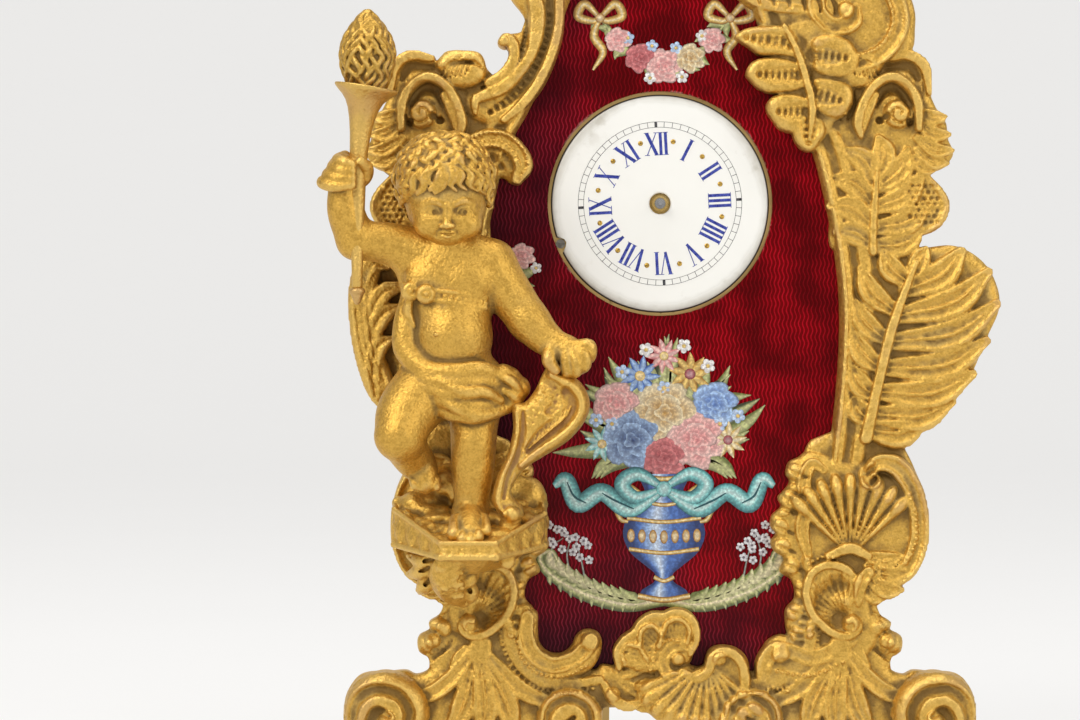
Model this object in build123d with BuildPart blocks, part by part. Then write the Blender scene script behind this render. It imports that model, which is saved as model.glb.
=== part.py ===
"""Rocaille table clock: a gilt cast frame with a torch-bearing child, round an enamelled plaque and dial.

Millimetres. +Z is up and the dial faces -Y. The origin is on the table, under the middle of the clock.
Depths are counted from the plaque's face: a positive depth lies behind it.
"""

import os
from math import asin, cos, degrees, radians, sin

from build123d import *

os.makedirs("parts", exist_ok=True)

# Driving sizes of the whole clock
half_width = 75.0
total_height = 206.0
dial_height = 120.0
reach_front = 28.5
reach_back = 52.0
plaque_y = (reach_front - reach_back) / 2

# Clearances and one overrun for cuts
running_gap = 0.05
seat_gap = 0.01
overrun = 5.0

# Enamelled plaque and the plate behind it
plaque_width_share = 0.56
plaque_bottom_share = 0.0631
plaque_top_share = 0.864
plaque_half_width = half_width * plaque_width_share
plaque_bottom = total_height * plaque_bottom_share
plaque_top = total_height * plaque_top_share
plaque_thickness = 1.6
plaque_opening = 24.7
# Outline from the foot up one side: height and half width as shares
outline_shares = (
    (0.0, 0.62),
    (0.14, 0.82),
    (0.32, 0.95),
    (0.52, 1.0),
    (0.7, 0.88),
    (0.78, 0.73),
    (0.86, 0.61),
    (0.94, 0.5),
    (1.0, 0.0),
)
case_plate_thickness = 1.5
case_plate_margin = 4.0
case_plate_opening = 22.0
fixing_offset = 2.0
fixing_depth = 4.0
fixing_rows = (2, 3, 4)
fixing_bottom_x = 15.0

# Cast frame
ring_lip = 4.0
ring_margin = 6.0
ring_depth = 5.0
scroll_front = 6.0
eye_front = 6.6
foot_radius = 9.0
foot_inner_radius = 7.0
foot_front = 12.0
foot_reach_share = 0.92
foot_reach = half_width * foot_reach_share
foot_flat = 0.4
foot_inner_left_share = 0.267
foot_inner_right_share = 0.573
foot_inner_left = half_width * foot_inner_left_share
foot_inner_right = half_width * foot_inner_right_share
apron_bottom_share = 0.047
apron_top_share = 0.107
apron_length_share = 0.773
apron_bottom = total_height * apron_bottom_share
apron_top = total_height * apron_top_share
apron_half_length = half_width * apron_length_share
crest_radius_share = 0.073
crest_radius = total_height * crest_radius_share
web_front = 3.0
# Crest scrolls: x and z of the centre, radius, start and arc in degrees, half width of the bar, and eye.
# z is a share of the height, the other lengths of the half width.
crest_scroll_shares = (
    (-0.28, 0.885, 0.17, -70, 210, 0.05, 0.065),
    (0.28, 0.885, 0.17, 40, 210, 0.05, 0.065),
)
# Cast forms of the frame. Each has a smooth outline, its x a share of half the width outwards and its z
# a share of the height, and stands before the plaque by its front.
head_front = 3.4
head_shares = (  # shells and round scroll at the head of each side
    (0.8125, 0.6856), (0.7861, 0.7102), (0.7715, 0.7380), (0.7216, 0.7454), (0.6512, 0.7380),
    (0.5749, 0.7465), (0.5221, 0.7412), (0.4781, 0.7166), (0.4283, 0.6931), (0.4400, 0.6557),
    (0.4869, 0.6077), (0.5045, 0.5436), (0.6453, 0.5329), (0.7480, 0.5489), (0.8331, 0.5778),
    (0.8272, 0.5949), (0.7920, 0.6141), (0.8565, 0.6312), (0.8477, 0.6557),
)
leaf_front = 5.2
leaf_shares = (  # large leaf on the left flank, behind the figure
    (0.7685, 0.5350), (0.8389, 0.5361), (0.8917, 0.5116), (0.9064, 0.4742), (0.8917, 0.4283),
    (0.8448, 0.3834), (0.7568, 0.3428), (0.6160, 0.3300), (0.5632, 0.3941), (0.5749, 0.4795),
    (0.6013, 0.5276),
)
wing_front = 5.2
wing_shares = (  # large leaf on the right flank, as broad as the raised torch reaches on the left
    (0.7685, 0.5350), (0.8741, 0.5372), (0.9621, 0.5158), (1.0000, 0.4774), (0.9621, 0.4389),
    (0.8859, 0.3813), (0.7568, 0.3428), (0.6160, 0.3300), (0.5632, 0.3941), (0.5749, 0.4795),
    (0.6013, 0.5276),
)
link_front = 2.9
link_shares = (  # flat piece between leaf and body
    (0.5573, 0.3460), (0.6805, 0.3385), (0.7509, 0.2980), (0.7568, 0.2552), (0.5573, 0.2424),
    (0.4576, 0.2659), (0.4224, 0.3022), (0.4517, 0.3343),
)
body_front = 4.6
body_shares = (  # scalloped body that runs down into the feet
    (0.4693, 0.3172), (0.3813, 0.3054), (0.3696, 0.2809), (0.3285, 0.2446), (0.3285, 0.2147),
    (0.3637, 0.1997), (0.3901, 0.1751), (0.3813, 0.1463), (0.3755, 0.1111), (0.2787, 0.0801),
    (0.1643, 0.0822), (0.1467, 0.0609), (0.1701, 0.0288), (0.2200, 0.0053), (0.3051, 0.0053),
    (0.3872, 0.0182), (0.4987, 0.0043), (0.6160, 0.0117), (0.7040, 0.0150), (0.8213, 0.0096),
    (0.9035, 0.0310), (0.9093, 0.0630), (0.8624, 0.0790), (0.7773, 0.0822), (0.7157, 0.0790),
    (0.6805, 0.0908), (0.7069, 0.1111), (0.6776, 0.1314), (0.6395, 0.1527), (0.6923, 0.1655),
    (0.7480, 0.1912), (0.7715, 0.2179), (0.7685, 0.2499), (0.6747, 0.2894),
)
cup_front = 5.4
cup_shares = (  # shell cup on each body
    (0.6101, 0.1271), (0.6219, 0.1506), (0.6013, 0.1762), (0.5515, 0.1933), (0.4928, 0.1997),
    (0.4341, 0.1869), (0.4165, 0.1634), (0.4459, 0.1356), (0.5045, 0.1164), (0.5691, 0.1164),
)
c_scroll_front = 4.6
c_scroll_shares = (  # great C-scroll at the upper left
    (0.4459, 0.8084), (0.3989, 0.7807), (0.4165, 0.7657), (0.4693, 0.7615), (0.4576, 0.7476),
    (0.4341, 0.7358), (0.4723, 0.7198), (0.5397, 0.7081), (0.5779, 0.6888), (0.5280, 0.6675),
    (0.4312, 0.6653), (0.3520, 0.7017), (0.2992, 0.7412), (0.2816, 0.7785), (0.2933, 0.8373),
    (0.3579, 0.8554), (0.4283, 0.8362),
)
hook_front = 4.6
hook_shares = (  # leaf hook beside the figure's hair
    (0.5808, 0.6397), (0.5280, 0.6579), (0.4547, 0.6589), (0.3989, 0.6440), (0.3813, 0.6237),
    (0.4253, 0.6034), (0.4811, 0.6098), (0.5573, 0.6034),
)
corner_front = 5.8
corner_shares = (  # hook scroll at the plaque's lower left corner
    (0.4107, 0.1463), (0.3608, 0.1442), (0.3549, 0.1164), (0.3080, 0.1015), (0.2581, 0.1111),
    (0.2200, 0.1271), (0.1760, 0.1196), (0.1789, 0.0972), (0.2347, 0.0769), (0.3285, 0.0716),
    (0.4048, 0.0908), (0.4283, 0.1207),
)
shoulder_front = 4.6
shoulder_shares = (  # scroll at the upper right
    (0.3813, 0.7358), (0.5573, 0.7230), (0.7040, 0.7358), (0.7509, 0.7743), (0.7275, 0.8106),
    (0.6453, 0.8362), (0.4987, 0.8490), (0.3227, 0.8426), (0.3285, 0.7999),
)
knob_front = 5.6
knob_shares = (  # knob scroll at the lower right
    (0.2816, 0.0481), (0.2728, 0.0716), (0.2992, 0.1057), (0.3579, 0.1217), (0.4547, 0.1143),
    (0.5573, 0.1303), (0.6219, 0.1463), (0.6571, 0.1250), (0.5867, 0.0897), (0.4547, 0.0630),
    (0.3403, 0.0481),
)
scallop_front = 6.0
scallop_shares = (  # scallop that turns up over the plaque
    (-0.1261, 0.0886), (-0.1320, 0.1057), (-0.0880, 0.1228), (-0.0352, 0.1431), (0.0411, 0.1484),
    (0.0997, 0.1378), (0.1085, 0.1164), (0.0763, 0.0886), (-0.0293, 0.0780),
)
ribbed_front = 6.2
ribbed_shares = (  # ribbed shell that turns down
    (-0.0704, 0.0502), (-0.0528, 0.0705), (0.0587, 0.0897), (0.1173, 0.0844), (0.1437, 0.1036),
    (0.2053, 0.1100), (0.2581, 0.0929), (0.2581, 0.0651), (0.1936, 0.0310), (0.0880, 0.0235),
    (-0.0147, 0.0320),
)

# Bracket under the figure, part of the frame casting
bracket_x_share = -0.555
bracket_top_share = 0.2233
bracket_bottom_share = 0.131
bracket_x = half_width * bracket_x_share
bracket_top = total_height * bracket_top_share
bracket_bottom = total_height * bracket_bottom_share
bracket_rim = 5.0
bracket_half_width = 16.3
bracket_facet = 8.0
bracket_foot_half_width = 9.5
bracket_foot_front = 8.0
bank_front = 7.0
bank_rise = 5.0

# Figure of a child, sized by its height above the bracket
figure_height = 90.0
figure_x_share = -0.56
figure_x = half_width * figure_x_share
figure_depth = -16.0
fist_radius = 5.6
fist_x_share = -0.3044
fist_height_share = 0.897
figure_sink = 0.3
figure_stud_radius = 1.2
figure_stud_up = 5.0
figure_stud_down = 8.0
# Torso sections: height, x, half width and half depth as shares of the figure's height
torso_shares = (
    (0.37, -0.03, 0.085, 0.07),
    (0.43, -0.03, 0.112, 0.088),
    (0.52, -0.035, 0.102, 0.086),
    (0.62, -0.04, 0.11, 0.08),
    (0.685, -0.045, 0.1, 0.058),
    (0.735, -0.052, 0.05, 0.045),
)
# Limbs: two ends as x, depth and height, then the two radii, all as shares of the figure's height
limb_shares = (
    ((0.01, 0.0, 0.41), (0.0, -0.015, 0.25), 0.082, 0.056),
    ((0.0, -0.01, 0.255), (-0.003, 0.005, 0.07), 0.06, 0.042),
    ((-0.003, 0.0, 0.043), (0.0, -0.075, 0.035), 0.043, 0.035),
    ((-0.085, 0.0, 0.4), (-0.15, -0.075, 0.265), 0.084, 0.064),
    ((-0.152, -0.07, 0.262), (-0.122, 0.03, 0.19), 0.06, 0.042),
    ((-0.12, 0.03, 0.178), (-0.095, -0.045, 0.145), 0.043, 0.033),
    ((-0.128, 0.0, 0.672), (-0.262, -0.02, 0.735), 0.058, 0.046),
    ((-0.262, -0.022, 0.738), (-0.308, -0.045, 0.865), 0.049, 0.036),
    ((0.045, 0.0, 0.665), (0.128, -0.02, 0.545), 0.056, 0.045),
    ((0.126, -0.02, 0.548), (0.205, -0.06, 0.48), 0.047, 0.034),
    ((0.205, -0.06, 0.482), (0.247, -0.075, 0.458), 0.041, 0.036),
    ((-0.06, 0.0, 0.7), (-0.06, -0.01, 0.79), 0.047, 0.05),
)
head_share = (-0.06, -0.012, 0.853)
head_radius_share = 0.112
head_height_share = 0.137
drapery_shares = (-0.025, 0.385, 0.118, 0.094)
drapery_height_share = 0.07

# Torch in the raised hand
torch_lean = 2.4
torch_x_share = -0.2733
torch_height_share = 0.6144
torch_depth = -20.5
torch_length_share = 0.5044
torch_length = figure_height * torch_length_share
torch_foot_radius = 1.1
torch_neck_radius = 2.0
torch_rim_radius = 6.8
torch_cup_share = 0.8
torch_neck_share = 0.55
torch_mouth_depth = 2.2
ferrule_length = 3.4
ferrule_radius = 1.5
ferrule_tip_radius = 0.4
flame_height = 17.2
flame_radius = 6.0
flame_belly_share = 0.4
flame_foot_radius = 3.6

# Leaf scroll under the lowered hand, with the pin that holds it to the bracket
leaf_scroll_height_share = 0.411
leaf_scroll_height = figure_height * leaf_scroll_height_share
leaf_scroll_front = 23.2
leaf_scroll_back = 16.8
leaf_scroll_x_share = 0.0956
leaf_scroll_x = figure_x + figure_height * leaf_scroll_x_share
# Outline from the curl at its foot, up the outer edge and down the inner one: x and z shares of its height
leaf_scroll_shares = (
    (0.0, 0.0),
    (0.083, 0.12),
    (0.03, 0.24),
    (0.04, 0.357),
    (0.22, 0.506),
    (0.43, 0.685),
    (0.49, 0.863),
    (0.4, 0.976),
    (0.22, 0.976),
    (0.083, 0.863),
    (0.012, 0.714),
    (-0.065, 0.536),
    (-0.113, 0.357),
    (-0.083, 0.21),
    (-0.085, 0.09),
)
scroll_pin_radius = 0.9
scroll_pin_up = 3.0
scroll_pin_down = 4.0

# Leaf cast with the frame, over the upper right of the plaque
spray_front = 2.6
spray_lift = 0.6
spray_x_share = 0.2067
spray_z_share = 0.636
spray_length_share = 0.4
spray_x = half_width * spray_x_share
spray_z = total_height * spray_z_share
spray_length = half_width * spray_length_share
# Outline of the leaf: x and z shares of its length, round its lobes from the upper tip
spray_shares = (
    (0.02, 0.82),
    (0.22, 0.86),
    (0.2, 0.68),
    (0.1, 0.56),
    (0.26, 0.4),
    (0.34, 0.2),
    (0.52, 0.02),
    (0.7, 0.2),
    (0.84, 0.42),
    (0.86, 0.7),
    (0.62, 1.0),
    (0.3, 1.04),
)

# Dial
dial_radius = 24.0
dial_thickness = 1.2
dial_recess = 0.4
dial_hole_radius = 2.3
dial_foot_radius = 0.6
dial_foot_circle = 20.0
dial_foot_angles = (75, 195, 315)
dial_notch_angle = 202.0
dial_notch_circle = 23.6
dial_notch_radius = 1.5
dial_screw_head = 1.0
dial_screw_shaft = 0.7
dial_screw_slot = 0.35

# Movement plates and pillars
movement_gap = 3.5
movement_plate = 1.5
train_room = 12.0
front_plate_radius = 24.9
back_plate_radius = 23.5
pillar_circle = 21.0
pillar_angles = (40, 125, 270, 345)
pillar_radius = 1.6
pillar_spigot = 1.0
pillar_screw_length = 3.0
screw_radius = 0.8
screw_head_radius = 1.5
screw_head_height = 0.9
pivot_radius = 0.3
arbor_radius = 0.5
dog_circle = 23.4
dog_radius = 0.6
dog_head = 1.1
dog_angles = (5, 150, 290)

# Going train: teeth, modules and the directions from one arbor to the next
barrel_teeth = 80
centre_leaves = 10
barrel_module = 0.26
centre_teeth = 64
third_leaves = 8
centre_module = 0.22
third_teeth = 60
fourth_leaves = 8
third_module = 0.2
fourth_teeth = 60
escape_leaves = 6
fourth_module = 0.19
escape_teeth = 15
escape_radius = 4.5
escape_root_share = 0.72
escape_heel_share = 0.3
escape_toe_share = 0.12
escape_hole_circle_share = 0.42
escape_hole_share = 0.2
escape_holes = 4
barrel_angle = 215.0
third_angle = 60.0
fourth_angle = -35.0
escape_angle = -100.0
balance_angle = -60.0
wheel_thickness = 0.8
leaf_margin = 0.35
centre_wheel_depth = 7.2
barrel_teeth_depth = 9.2
third_wheel_depth = 11.6
fourth_wheel_depth = 14.0
escape_wheel_depth = 16.0
# Teeth as heights in modules and half widths in pitches, from root to root
wheel_tooth_shares = ((-1.2, -0.3), (0.9, -0.07), (0.9, 0.07), (-1.2, 0.3))
leaf_tooth_shares = ((-1.25, -0.17), (0.7, -0.08), (0.7, 0.08), (-1.25, 0.17))
crossing_count = 5
crossing_share = 0.3
crossing_circle_share = 0.56

# Barrel, spring and winding work
barrel_depth = 7.8
barrel_wall = 0.6
barrel_floor = 1.2
barrel_radius = 9.6
barrel_cover_thickness = 0.9
barrel_arbor_radius = 1.5
barrel_hub_radius = 2.4
spring_pitch = 0.75
spring_half_turns = 14
spring_thickness = 0.3
spring_margin = 0.4
square_share = 1.34
square_front = 22.0
square_back = 25.6
ratchet_teeth = 18
ratchet_radius = 5.0
ratchet_tooth = 0.7
ratchet_thickness = 1.0
click_reach = 8.2
click_angle = 65.0
click_tip_angle = 100.0
click_hub = 1.5
click_half_width = 0.9
click_stud_radius = 0.6
click_spring_thickness = 0.25
click_spring_length = 7.0
click_spring_offset = 1.9
click_clearance = 0.15
ratchet_lift = 0.3

# Motion work behind the dial
cannon_leaves = 12
minute_teeth = 36
motion_module = 0.28
minute_leaves = 10
hour_teeth = 40
minute_angle = 120.0
setting_angle = 150.0
cannon_depth = 3.9
cannon_back = 4.9
cannon_front = -2.2
cannon_radius = 1.15
cannon_seat_radius = 0.9
hour_depth = 2.6
hour_thickness = 0.7
hour_pipe_radius = 1.8
hour_seat_radius = 1.6
hour_pipe_front = -0.8
centre_arbor_radius = 0.55
centre_arbor_front = -2.9
centre_pivot_radius = 0.5
minute_post_radius = 0.6
minute_post_front = 2.2
setting_radius = 0.9
setting_front = 3.7

# Balance, its cock and the regulator
balance_radius = 8.0
balance_rim = 0.9
balance_arm = 1.1
balance_hub = 1.4
balance_depth = 21.3
balance_thickness = 0.8
staff_radius = 0.7
staff_passage = 1.2
escape_clearance = 0.15
hairspring_pitch = 0.6
hairspring_half_turns = 12
hairspring_thickness = 0.15
hairspring_depth = 22.5
hairspring_height = 0.5
cock_depth = 23.6
cock_thickness = 1.2
cock_half_width = 2.6
cock_foot_radius = 2.2
cock_foot_reach = 11.0
cock_foot_angle = 180.0
regulator_thickness = 0.5
regulator_hub = 1.6
regulator_boss = 0.9
regulator_reach = 6.0
regulator_width = 0.9

# Drum behind the plaque, and its hinged door
drum_back = 26.5
drum_inner = 25.0
drum_wall = 1.2
drum_flange = 31.0
drum_flange_thickness = 1.2
drum_screw_circle = 28.6
drum_screw_angles = (45, 135, 225, 315)
drum_lip = 22.0
door_thickness = 1.2
key_hole_radius = 2.2
door_knuckle = 1.6
door_pin_radius = 0.6
door_knuckle_length = 9.0
drum_knuckle_length = 5.0
door_strap = 3.0
drum_strap = 1.5
knuckle_gap = 0.15
door_tab_width = 5.0
door_tab_reach = 1.6

# Rear leg that swings on an upright pin
leg_x = -12.0
leg_thickness = 3.0
leg_top_share = 0.667
leg_top = dial_height * leg_top_share
leg_heel = 9.0
leg_knuckle_radius = 2.2
leg_knuckle_length = 16.0
leg_fixed_knuckle = 12.0
leg_knuckle_gap = 0.25
leg_middle_share = 0.4167
leg_middle = dial_height * leg_middle_share
leg_pin_radius = 0.9
leg_root = 20.0
leg_bow_shares = (0.36, 0.5)
leg_arch_shares = (0.5, 0.75)
leg_hinge_width = 12.0
leg_hinge_thickness = 1.6
leg_hinge_height = 46.0
leg_web = 3.0
leg_screw_x = 4.0
leg_screw_z = 15.0

# Depths that follow from the sizes above
frame_back = plaque_thickness
case_back = plaque_thickness + case_plate_thickness
dial_back = dial_recess + dial_thickness
front_plate_front = dial_back + movement_gap
train_front = front_plate_front + movement_plate
train_back = train_front + train_room
movement_back = train_back + movement_plate
drum_outer = drum_inner + drum_wall
door_front = drum_back + 2 * running_gap
door_back = door_front + door_thickness
door_axis = (drum_outer + door_knuckle, plaque_y + (door_front + door_back) / 2)
leg_axis_depth = case_back + leg_hinge_thickness + leg_knuckle_radius + leg_knuckle_gap
figure_y = plaque_y + figure_depth
figure_z = bracket_top - figure_sink
spring_inner = barrel_hub_radius + spring_thickness
hairspring_inner = staff_radius + hairspring_thickness / 2 + seat_gap
barrel_back = barrel_teeth_depth + barrel_depth
cover_front = barrel_back - barrel_cover_thickness
ratchet_front = movement_back + ratchet_lift
ratchet_back = ratchet_front + ratchet_thickness
cock_back = cock_depth + cock_thickness
minute_module = motion_module * (cannon_leaves + minute_teeth) / (minute_leaves + hour_teeth)


def facing(depth, x=0.0, z=0.0):
    """The plane at a depth behind the plaque's face, looking out of the front, centred on x and z."""
    return Plane(origin=(x, plaque_y + depth, z), x_dir=(1, 0, 0), z_dir=(0, -1, 0))


def keep(builder, name):
    """Names a finished piece and writes it."""
    builder.part.label = name
    export_step(builder.part, f"parts/{name}.step")


def polar(origin, distance, angle):
    """The point at a distance and direction from another, seen from the front."""
    return (origin[0] + distance * cos(radians(angle)), origin[1] + distance * sin(radians(angle)))


def rod(centre, front, back, radius, mode=Mode.ADD):
    """Adds a round bar between two depths, or drills one, at a place measured from the dial's centre."""
    with BuildSketch(facing(back, centre[0], dial_height + centre[1])) as section:
        Circle(radius)
    extrude(section.sketch, amount=back - front, mode=mode)


def square_bar(centre, front, back, side):
    """Adds a square bar between two depths."""
    with BuildSketch(facing(back, centre[0], dial_height + centre[1])) as section:
        Rectangle(side, side)
    extrude(section.sketch, amount=back - front)


def toothed(centre, front, back, teeth, module, shares, phase):
    """Adds a toothed slab; one tooth points along the phase angle."""
    pitch = 360 / teeth
    points = []
    for tooth in range(teeth):
        for height, half in shares:
            place = phase + (tooth + half) * pitch
            points.append(polar((0, 0), module * (teeth / 2 + height), place))
    with BuildSketch(facing(back, centre[0], dial_height + centre[1])) as section:
        with BuildLine():
            Polyline(*points, close=True)
        make_face()
    extrude(section.sketch, amount=back - front)


def train_wheel(name, centre, depth, teeth, module, bore, phase, thickness=wheel_thickness):
    """A crossed-out brass wheel riveted on its arbor."""
    with BuildPart() as wheel:
        toothed(centre, depth, depth + thickness, teeth, module, wheel_tooth_shares, phase)
        rod(centre, depth - overrun, depth + overrun, bore, Mode.SUBTRACT)
        pitch_radius = teeth * module / 2
        with BuildSketch(facing(depth + thickness, centre[0], dial_height + centre[1])) as crossings:
            with PolarLocations(pitch_radius * crossing_circle_share, crossing_count):
                Circle(pitch_radius * crossing_share)
        extrude(crossings.sketch, amount=thickness, mode=Mode.SUBTRACT)
    keep(wheel, name)


def train_arbor(name, centre, leaf_depth, leaves, module, phase):
    """A steel arbor between the plates, with its pinion and two pivots."""
    with BuildPart() as arbor:
        rod(centre, train_front + running_gap, train_back - running_gap, arbor_radius)
        rod(centre, front_plate_front, movement_back, pivot_radius)
        front = leaf_depth - leaf_margin
        back = leaf_depth + wheel_thickness + leaf_margin
        toothed(centre, front, back, leaves, module, leaf_tooth_shares, phase)
    keep(arbor, name)


def spiral_face(inner, pitch, half_turns, thickness):
    """Draws a flat spiral strip in the open sketch, made of half circles."""
    with BuildLine() as outline:
        for turn in range(half_turns):
            centre = (pitch / 2 if turn % 2 else 0, 0)
            radius = inner + turn * pitch / 2
            start = 180 if turn % 2 else 0
            CenterArc(centre, radius - thickness / 2, start, 180)
            CenterArc(centre, radius + thickness / 2, start, 180)
        last = inner + half_turns * pitch / 2
        Line((inner - thickness / 2, 0), (inner + thickness / 2, 0))
        Line((last - thickness / 2, 0), (last + thickness / 2, 0))
    make_face(outline.edges())


def cartouche(grow=0.0, mode=Mode.ADD):
    """Draws the plaque's outline in the open sketch, grown all round."""
    height = plaque_top - plaque_bottom + 2 * grow
    width = plaque_half_width + grow
    points = [(width * across, plaque_bottom - grow + height * up) for up, across in outline_shares]
    with BuildLine() as outline:
        side = Spline(*points, tangents=[(plaque_half_width, height), (-plaque_half_width, 0)])
        Line((0, plaque_bottom - grow), side @ 0)
        mirror(about=Plane.YZ)
    make_face(outline.edges(), mode=mode)


def c_scroll(x, z, radius, start, arc, bar, eye, web):
    """Adds a C-scroll to the frame: a half-round bar bent on an arc, with a button at each end."""
    with BuildLine(facing(0)) as path:
        CenterArc((x, z), radius, start, arc)
    with BuildSketch(Plane(origin=path.line @ 0, x_dir=(0, -1, 0), z_dir=path.line % 0)) as section:
        Ellipse(scroll_front, bar)
        Rectangle(2 * scroll_front, 4 * bar, align=(Align.MAX, Align.CENTER), mode=Mode.SUBTRACT)
    sweep(section.sketch, path=path.line)
    for end in (start, start + arc):
        rod(polar((x, z - dial_height), radius, end), -eye_front, 0, eye)
    if web:
        rod((x, z - dial_height), -web_front, 0, radius)


def limb(start, finish, start_radius, finish_radius):
    """Adds a tapered limb with round ends between two points to the open part."""
    axis = Vector(*finish) - Vector(*start)
    taper = degrees(asin((start_radius - finish_radius) / axis.length))
    with BuildSketch(Plane(origin=start, x_dir=axis, z_dir=axis.cross(Vector(0, 1, 0)))) as section:
        with BuildLine():
            near = CenterArc((0, 0), start_radius, 90 - taper, 90 + taper)
            far = CenterArc((axis.length, 0), finish_radius, 0, 90 - taper)
            Line(near @ 0, far @ 1)
            Line(near @ 1, far @ 0)
        make_face()
    revolve(section.sketch, axis=Axis(start, axis))


def upright(x, y, bottom, top, radius, mode=Mode.ADD):
    """Adds an upright round bar, or drills one."""
    with BuildSketch(Plane.XY.offset(bottom)) as section:
        with Locations((x, y)):
            Circle(radius)
    extrude(section.sketch, amount=top - bottom, mode=mode)


def mate(phase, direction, teeth, leaves):
    """The phase of a pinion whose gaps meet the teeth of a wheel that lies the other way."""
    return direction + 180 + 180 / leaves - (phase - direction) * teeth / leaves


# Places of the arbors, from the dial's centre, seen from the front
centre = (0.0, 0.0)
barrel_place = polar(centre, barrel_module * (barrel_teeth + centre_leaves) / 2, barrel_angle)
third_place = polar(centre, centre_module * (centre_teeth + third_leaves) / 2, third_angle)
fourth_place = polar(third_place, third_module * (third_teeth + fourth_leaves) / 2, fourth_angle)
escape_place = polar(fourth_place, fourth_module * (fourth_teeth + escape_leaves) / 2, escape_angle)
balance_place = polar(escape_place, escape_radius + staff_radius + escape_clearance, balance_angle)
motion_distance = motion_module * (cannon_leaves + minute_teeth) / 2
minute_place = polar(centre, motion_distance, minute_angle)
setting_place = polar(minute_place, motion_distance, setting_angle)
click_place = polar(barrel_place, click_reach, click_angle)
cock_foot_place = polar(balance_place, cock_foot_reach, cock_foot_angle)
pillar_places = [polar(centre, pillar_circle, angle) for angle in pillar_angles]
dog_places = [polar(centre, dog_circle, angle) for angle in dog_angles]
foot_places = [polar(centre, dial_foot_circle, angle) for angle in dial_foot_angles]
drum_screw_places = [polar(centre, drum_screw_circle, angle) for angle in drum_screw_angles]
notch_place = polar(centre, dial_notch_circle, dial_notch_angle)
pivot_places = [third_place, fourth_place, escape_place]

# Places of the screws between case plate and frame, and of the leg hinge's screws
plaque_height = plaque_top - plaque_bottom
fixing_places = []
for sign in (-1, 1):
    for row in fixing_rows:
        up, across = outline_shares[row]
        reach = sign * (plaque_half_width * across + fixing_offset)
        fixing_places.append((reach, plaque_bottom + plaque_height * up - dial_height))
    fixing_places.append((sign * fixing_bottom_x, plaque_bottom - fixing_offset - dial_height))
leg_screw_places = []
for sign in (-1, 1):
    for side in (-1, 1):
        leg_screw_places.append((leg_x + sign * leg_screw_x, leg_middle + side * leg_screw_z - dial_height))


# Torch: a turned, leaning cone with a cup; the ferrule closes its foot and the flame stands in its mouth
torch_foot = (
    figure_x + figure_height * torch_x_share,
    plaque_y + torch_depth,
    figure_z + figure_height * torch_height_share,
)
torch_plane = Plane(
    origin=torch_foot,
    x_dir=(cos(radians(torch_lean)), 0, -sin(radians(torch_lean))),
    z_dir=(0, -1, 0),
)
torch_axis = Axis(torch_foot, (sin(radians(torch_lean)), 0, cos(radians(torch_lean))))


def torch_shaft(grow=0.0):
    """Draws half the torch's section in the open sketch, without its mouth."""
    with BuildLine() as outline:
        Polyline(
            (0, 0),
            (torch_foot_radius + grow, 0),
            (torch_neck_radius + grow, torch_length * torch_neck_share),
            (torch_neck_radius + grow, torch_length * torch_cup_share),
            (torch_rim_radius + grow, torch_length),
            (0, torch_length),
            close=True,
        )
    make_face(outline.edges())


with BuildPart() as torch:
    with BuildSketch(torch_plane):
        torch_shaft()
        with BuildLine():
            Polyline(
                (0, torch_length - torch_mouth_depth),
                (flame_foot_radius, torch_length - torch_mouth_depth),
                (flame_radius, torch_length),
                (0, torch_length),
                close=True,
            )
        make_face(mode=Mode.SUBTRACT)
    revolve(axis=torch_axis)
keep(torch, "torch")

with BuildPart() as torch_ferrule:
    with BuildSketch(torch_plane):
        with BuildLine():
            Polyline(
                (0, 0),
                (ferrule_radius, 0),
                (ferrule_radius, -ferrule_length / 2),
                (ferrule_tip_radius, -ferrule_length),
                (0, -ferrule_length),
                close=True,
            )
        make_face()
    revolve(axis=torch_axis)
keep(torch_ferrule, "torch_ferrule")

with BuildPart() as torch_flame:
    with BuildSketch(torch_plane):
        flame_foot = torch_length - torch_mouth_depth
        flame_tip = flame_foot + flame_height
        with BuildLine():
            side = Spline(
                (flame_foot_radius - running_gap, flame_foot),
                (flame_radius, flame_foot + flame_height * flame_belly_share),
                (0, flame_tip),
            )
            Polyline(side @ 1, (0, flame_foot), side @ 0)
        make_face()
    revolve(axis=torch_axis)
keep(torch_flame, "torch_flame")


# Front frame: one gilt casting with the plaque's rim, scrolls, feet, bracket, shell, crest and leaf
def cast_form(side, front, shares):
    """Adds one of the cast forms to the open part, on the left or the right."""
    with BuildSketch(facing(0)) as form:
        with BuildLine() as outline:
            Spline(*[(side * half_width * x, total_height * z) for x, z in shares], periodic=True)
        make_face(outline.edges())
    extrude(form.sketch, amount=front)


def bracket_plan(z, half, front):
    """The bracket's many-sided plan at a height."""
    facet = bracket_facet * half / bracket_half_width
    back = plaque_y
    nose = plaque_y - front
    with BuildSketch(Plane.XY.offset(z)) as plan:
        with BuildLine():
            Polyline(
                (bracket_x - half, back),
                (bracket_x + half, back),
                (bracket_x + half, nose + facet),
                (bracket_x + half - facet, nose),
                (bracket_x - half + facet, nose),
                (bracket_x - half, nose + facet),
                close=True,
            )
        make_face()
    return plan.sketch


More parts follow.
